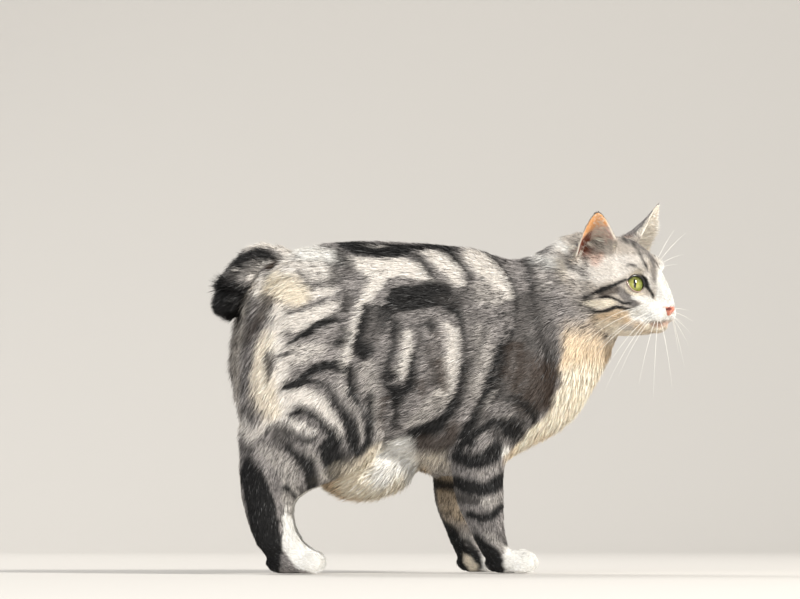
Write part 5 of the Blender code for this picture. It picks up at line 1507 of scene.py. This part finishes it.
        # Painted shade: darker towards the tuft's root, where hairs shade one another, and brighter at the tip; less on
        # light hair.
        shaded = np.interp(steps, (0, 0.5, 1), (0.50, 0.95, 1.12))[None, :, None]
        colours *= blend(shaded, 1.0, (smooth(light, 0.55, 0.85) * 0.7)[..., 0])
        ticked = (draw.random((count, 1, 1)) < 0.24) & (light > 0.12) & (light < 0.56)
        ticked &= zones.face[chosen][:, None, None] < 0.5
        grizzled = (draw.random((count, 1, 1)) < 0.03) & (light < 0.06)
        colours = np.where(ticked & (s > 0.4), colours * 0.25, colours)
        colours = np.where(grizzled & (s > 0.2), 0.12 + 0 * colours, colours)
        colours = np.where(inside[:, None, None], np.array((0.82, 0.76, 0.67)) * shade, colours)
        colours = np.clip(colours, 0.003, 0.95).reshape(-1, 3)
        verts = to_model(verts.reshape(-1, 3))
        made = new_mesh(region.name, verts, np.tile(sizes, count), corners, colours, HAIR_FINISH)
        spots = region.unrolled(p)[:, None] + np.stack((stands, steps - 0.5), 1)[None] * self.patch
        layer = made.data.uv_layers.new(name="OFBake")
        layer.uv.foreach_set("vector", np.clip(spots.reshape(-1, 2)[corners], 0, 1).astype(np.float32).ravel())
        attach(made, "root")
        return made


@dataclass
class Eye:
    """A globe with a raised cornea, and the dark margin of its lids."""

    axes: EyeAxes
    gaze: float = -15.0
    iris: float = 8.9
    pupil: tuple[float, float] = (1.2, 3.9)
    bulge: float = 1.15
    rings: int = 90
    around: int = 144

    def name(self) -> str:
        """left or right."""
        return "left" if self.axes.side > 0 else "right"

    def globe(self) -> bpy.types.Object:
        """The globe: a sphere whose radius grows towards the middle of the cornea, as rings about its axis.

        The tint is worked out on the same grid: a slit pupil, an iris that goes from yellow-green by the
        pupil to green and a dark rim, with fine threads along its radius and a painted shadow of the upper lid over
        its top, and a brown white of the eye.
        """
        look, _, _ = self.axes.axes()
        turned = math.radians(self.gaze)
        look = np.array(
            (
                look[0] * math.cos(turned) - look[1] * math.sin(turned),
                look[0] * math.sin(turned) + look[1] * math.cos(turned),
                look[2],
            )
        )
        along = unit(np.cross((0.0, 0.0, 1.0), look))
        up = np.cross(look, along)
        angle = np.pi * np.linspace(0, 1, self.rings) ** 1.6
        turn = np.linspace(0, 2 * math.pi, self.around, endpoint=False)
        radius = self.axes.radius + self.bulge * smooth(angle, 0.95, 0.0)
        off = radius * np.sin(angle)
        local = np.stack(
            (
                off[:, None] * np.cos(turn),
                off[:, None] * np.sin(turn),
                np.repeat((radius * np.cos(angle))[:, None], self.around, 1),
            ),
            -1,
        ).reshape(-1, 3)
        spots = self.axes.middle() + local @ np.stack((along, up, look))
        faces = grid_faces(self.rings, self.around)[:, ::-1]
        x, y, front = local.T
        far = np.hypot(x, y)
        threads = noise(np.stack((np.arctan2(y, x) * 14, far * 0.35, front * 0), 1), 1.0, 61)
        patchy = noise(local, 2.4, 62)
        green = blend(np.array((0.37, 0.37, 0.075)), np.array((0.20, 0.235, 0.045)), smooth(far, 2.0, 7.0))
        green = green * (1 + 0.22 * threads + 0.14 * patchy)[:, None]
        # Painted shadow of the upper lid: the iris darker towards its top.
        green = blend(green, green * 0.30, smooth(y, -1.5, 5.0) * 0.88)
        green = blend(green, (0.03, 0.035, 0.012), smooth(far, self.iris - 1.3, self.iris - 0.1))
        slit = np.hypot(x / self.pupil[0], y / self.pupil[1])
        tint = blend(green, (0.004, 0.004, 0.004), smooth(slit, 1.12, 0.9))
        white = np.maximum(smooth(far, self.iris, self.iris + 0.5), front < 0)
        tint = blend(tint, (0.05, 0.026, 0.018), white)
        place = to_model(HEAD.body(spots))
        made = even_mesh(f"globe_{self.name()}", place, faces, np.clip(tint, 0.003, 1), EYE_FINISH)
        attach(made, "root")
        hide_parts(f"eye_{self.name()}")
        return made

    def margin(self) -> bpy.types.Object:
        """The lids' edge: a flattened round profile carried along the almond, closed on itself.

        It is black and thick above and in the corner by the nose, and thin and pale below.
        """
        line = self.axes.margin(self.axes.radius + 1.1, 96)
        angle = np.linspace(0, 2 * math.pi, 96, endpoint=False)
        corner = smooth(np.cos(angle), -0.55, -0.98)
        above = smooth(np.sin(angle), -0.15, 0.25)
        dark = np.maximum(corner, above)
        outward = unit(line - self.axes.middle())
        way = unit(np.roll(line, -1, 0) - np.roll(line, 1, 0))
        across = unit(np.cross(way, outward))
        turn = np.linspace(0, 2 * math.pi, 12, endpoint=False)
        wide = (0.75 + 0.35 * above + 1.5 * corner)[:, None, None]
        ring = across[:, None] * np.cos(turn)[None, :, None] * wide
        ring = ring + outward[:, None] * (0.8 * np.sin(turn))[None, :, None]
        verts = (line[:, None] + ring).reshape(-1, 3)
        faces = grid_faces(97, 12) % len(verts)
        if self.axes.side < 0:
            faces = faces[:, ::-1]
        tint = blend(np.array((0.30, 0.21, 0.16)), np.array((0.010, 0.008, 0.007)), np.repeat(dark, 12))
        made = even_mesh(f"lid_margin_{self.name()}", to_model(HEAD.body(verts)), faces, tint, LID_FINISH)
        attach(made, "root")
        return made


@dataclass
class Nose:
    """The nose leather with its nostrils, a finer copy of its solid."""

    voxel: float = 0.35

    def build(self) -> bpy.types.Object:
        """Makes the solid's surface even and soft, and darkens the nostrils with painted shade."""
        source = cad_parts["nose"]
        made = bpy.data.objects.new("nose_skin", source.data.copy())
        bpy.context.scene.collection.objects.link(made)
        made.data.materials.clear()
        for kind, values in (
            ("REMESH", {"mode": "VOXEL", "voxel_size": self.voxel * 0.001}),
            ("SMOOTH", {"factor": 0.5, "iterations": 5}),
        ):
            step = made.modifiers.new(kind.lower(), kind)
            for key, value in values.items():
                setattr(step, key, value)
        graph = bpy.context.evaluated_depsgraph_get()
        mesh = bpy.data.meshes.new_from_object(made.evaluated_get(graph))
        made.modifiers.clear()
        made.data = mesh
        mesh.polygons.foreach_set("use_smooth", np.ones(len(mesh.polygons), bool))
        co, _, _ = surface_of(made)
        q = HEAD.local(co)
        under = smooth(q[:, 2], -15.0, -13.7)
        q[:, 0] -= 2.2 * under
        q[:, 2] -= 0.6 * under
        mesh.vertices.foreach_set("co", to_model(HEAD.body(q)).astype(np.float32).ravel())
        mesh.update()
        q[:, 1] = np.abs(q[:, 1])
        # Painted shade: dark red inside the nostrils.
        hole = np.linalg.norm((q - (92.5, 4.9, -16.7)) / (4.6, 2.6, 1.35), axis=1)
        pink = blend(np.array((0.66, 0.23, 0.155)), np.array((0.74, 0.32, 0.23)), smooth(noise(co, 2.0, 71), -0.6, 0.8))
        tint = blend(pink, (0.17, 0.025, 0.016), smooth(hole, 1.1, 0.85))
        tint = blend(tint, (0.40, 0.12, 0.08), smooth(q[:, 1], 0.8, 0.2) * (q[:, 2] < -17) * 0.7)
        set_tint(mesh, tint)
        mesh.materials.append(NOSE_FINISH.material())
        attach(made, "root")
        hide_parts("nose")
        return made


@dataclass
class Whiskers:
    """White whiskers of the muzzle and the left brow: thin tapered tubes that bend under their weight."""

    seed: int = 9
    thick: float = 0.22
    steps: int = 14
    right: tuple[tuple[tuple[float, float, float], tuple[float, float]], ...] = (
        ((76, 14.5, -17), (583, 344)),
        ((78, 14.0, -19), (585, 368)),
        ((79, 14.0, -21.5), (601, 376)),
        ((80, 13.5, -22.5), (604, 391)),
        ((82, 12.8, -22), (618, 376)),
        ((83, 12.0, -24), (638, 384)),
        ((84.5, 11.0, -22), (652, 398)),
        ((85.5, 10.5, -24), (671, 388)),
        ((77, 15.0, -14.5), (590, 330)),
        ((81, 13.2, -18), (590, 356)),
    )
    left: tuple[tuple[tuple[float, float, float], tuple[float, float], float], ...] = (
        ((87, 9.0, -22), (679, 352), 0.25),
        ((86, 10.0, -20), (686, 366), 0.45),
        ((85, 11.0, -22), (690, 345), 0.55),
        ((84, 12.0, -19), (694, 321), 0.50),
        ((83, 12.8, -21), (692, 333), 0.62),
        ((80, 13.4, -18), (690, 310), 0.75),
        ((79, 14.0, -20), (684, 322), 0.85),
        ((70, 14.0, 19), (688, 231), 0.30),
        ((71, 12.5, 18), (684, 254), 0.30),
        ((72, 11.0, 17), (678, 264), 0.30),
        ((69, 15.0, 20), (676, 228), 0.50),
    )

    def curve(self, start: Array, end: Array, sag: float, wave: Array) -> Array:
        """A curve of the second degree from start to end, whose middle stands up by the sag, with a slight bow."""
        t = np.linspace(0, 1, self.steps)[:, None]
        middle = (start + end) / 2 + np.array((0, 0, sag)) + wave
        return (1 - t) ** 2 * start + 2 * t * (1 - t) * middle + t**2 * end

    def build(self) -> bpy.types.Object:
        """All whiskers as one piece."""
        draw = np.random.default_rng(self.seed)
        paths = []
        groups = [(root, spot, -1, 0.24, 0.17) for root, spot in self.right]
        groups += [(root, spot, 1, -away, 0.12) for root, spot, away in self.left]
        a = math.radians(VIEW.turn)
        across, towards = np.array((math.cos(a), math.sin(a), 0)), np.array((math.sin(a), -math.cos(a), 0))
        for root, (column, row), side, nearer, sag in groups:
            start = HEAD.body(np.array(root) * (1, side, 1))
            spot = VIEW.place(start[None])[0]
            over = across * (column - spot[0]) * VIEW.unit + np.array((0, 0, spot[1] - row)) * VIEW.unit
            length = np.linalg.norm(over)
            bow = towards * 4.0 * np.sign(nearer) + draw.normal(0, 0.6, 3)
            paths.append(self.curve(start, start + over + towards * length * nearer, length * sag, bow))
        verts, faces, start = [], [], 0
        for path in paths:
            radii = self.thick * np.interp(np.linspace(0, 1, self.steps), (0, 0.5, 1), (1.0, 0.75, 0.12))
            v, f = carried(path, radii, 5)
            verts.append(v)
            faces.append(f + start)
            start += len(v)
        verts, faces = np.concatenate(verts), np.concatenate(faces)
        tint = np.tile(np.array((0.88, 0.86, 0.80)), (len(verts), 1))
        made = even_mesh("whiskers", to_model(verts), faces, tint, WHISKER_FINISH)
        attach(made, "root")
        return made


# Studio


@dataclass(frozen=True)
class Studio:
    """A pale floor that rises into a backdrop, four soft lights and the camera."""

    floor: tuple[float, float, float] = (0.60, 0.58, 0.55)
    sky: tuple[float, float, float] = (0.88, 0.88, 0.88)
    sky_strength: float = 0.50
    sensor: float = 36.0
    columns: int = 800

    def backdrop(self) -> bpy.types.Object:
        """A profile carried along X: flat, a quarter circle, then upright."""
        bend = np.linspace(0, math.pi / 2, 24)
        y = np.concatenate(([-7.0], 2.2 + 1.2 * np.sin(bend), [3.4]))
        z = np.concatenate(([0.0], 1.2 - 1.2 * np.cos(bend), [7.0])) - 0.0002
        x = np.array((-9.0, 9.0))
        verts = np.stack([np.repeat(x, len(y)), np.tile(y, 2), np.tile(z, 2)], 1)
        k = np.arange(len(y) - 1)
        faces = np.stack((k, k + len(y), k + len(y) + 1, k + 1), 1)
        tint = np.tile(np.array(self.floor), (len(verts), 1))
        made = even_mesh("floor", verts, faces, tint, Finish("floor", 0.85, 0.2))
        return made

    def aimed(self, name: str, data: bpy.types.ID, place: Array, target: Array) -> bpy.types.Object:
        """A lamp or a camera at a place, turned to look at a target."""
        made = bpy.data.objects.new(name, data)
        bpy.context.scene.collection.objects.link(made)
        made.location = place
        made.rotation_mode = "QUATERNION"
        made.rotation_quaternion = Vector(np.subtract(target, place)).to_track_quat("-Z", "Y")
        return made

    def light(
        self,
        name: str,
        place: tuple[float, float, float],
        size: float,
        power: float,
        colour: tuple[float, float, float],
    ) -> None:
        """A square area light that looks at the middle of the cat."""
        data = bpy.data.lights.new(name, "AREA")
        data.size, data.energy, data.color = size, power, colour
        self.aimed(name, data, place, (0.0, 0.0, 0.17))

    def camera(self) -> None:
        """The camera at the side view's eye point."""
        eye, target = VIEW.eye_and_target()
        data = bpy.data.cameras.new("camera")
        data.sensor_width = self.sensor
        data.lens = self.sensor * VIEW.distance / (self.columns * VIEW.unit)
        data.clip_end = 60
        bpy.context.scene.camera = self.aimed("camera", data, to_model(eye), to_model(target))

    def build(self) -> None:
        """Everything that isn't the cat."""
        self.backdrop()
        self.camera()
        self.light("key", (2.4, -2.2, 2.4), 0.7, 185, (1.0, 0.965, 0.91))
        self.light("fill", (-2.5, -2.0, 0.9), 2.0, 40, (0.96, 0.98, 1.0))
        self.light("low", (0.4, -3.0, 0.3), 1.4, 20, (1.0, 0.98, 0.95))
        self.light("rim", (-0.9, 1.9, 2.2), 1.2, 45, (1.0, 0.98, 0.95))
        world = bpy.data.worlds.new("studio")
        world.use_nodes = True
        back = world.node_tree.nodes["Background"]
        back.inputs["Color"].default_value = (*self.sky, 1)
        back.inputs["Strength"].default_value = self.sky_strength
        bpy.context.scene.world = world
        bpy.context.scene.view_settings.view_transform = "Standard"


def main() -> None:
    """Builds the camera, the lights and every piece of the cat, and reports each."""
    logging.basicConfig(level=logging.INFO, format="%(message)s", force=True)
    Studio().build()
    skin = Skin().build()
    LOG.info("skin: %d faces", len(skin.data.polygons))
    for piece in Coat(skin, thin=1.0).build():
        LOG.info("%s: %d faces", piece.name, len(piece.data.polygons))
    for axes in EYES:
        eye = Eye(axes)
        LOG.info("%s, %s", eye.globe().name, eye.margin().name)
    LOG.info("%s", Nose().build().name)
    LOG.info("%s", Whiskers().build().name)


if __name__ == "__main__":
    main()
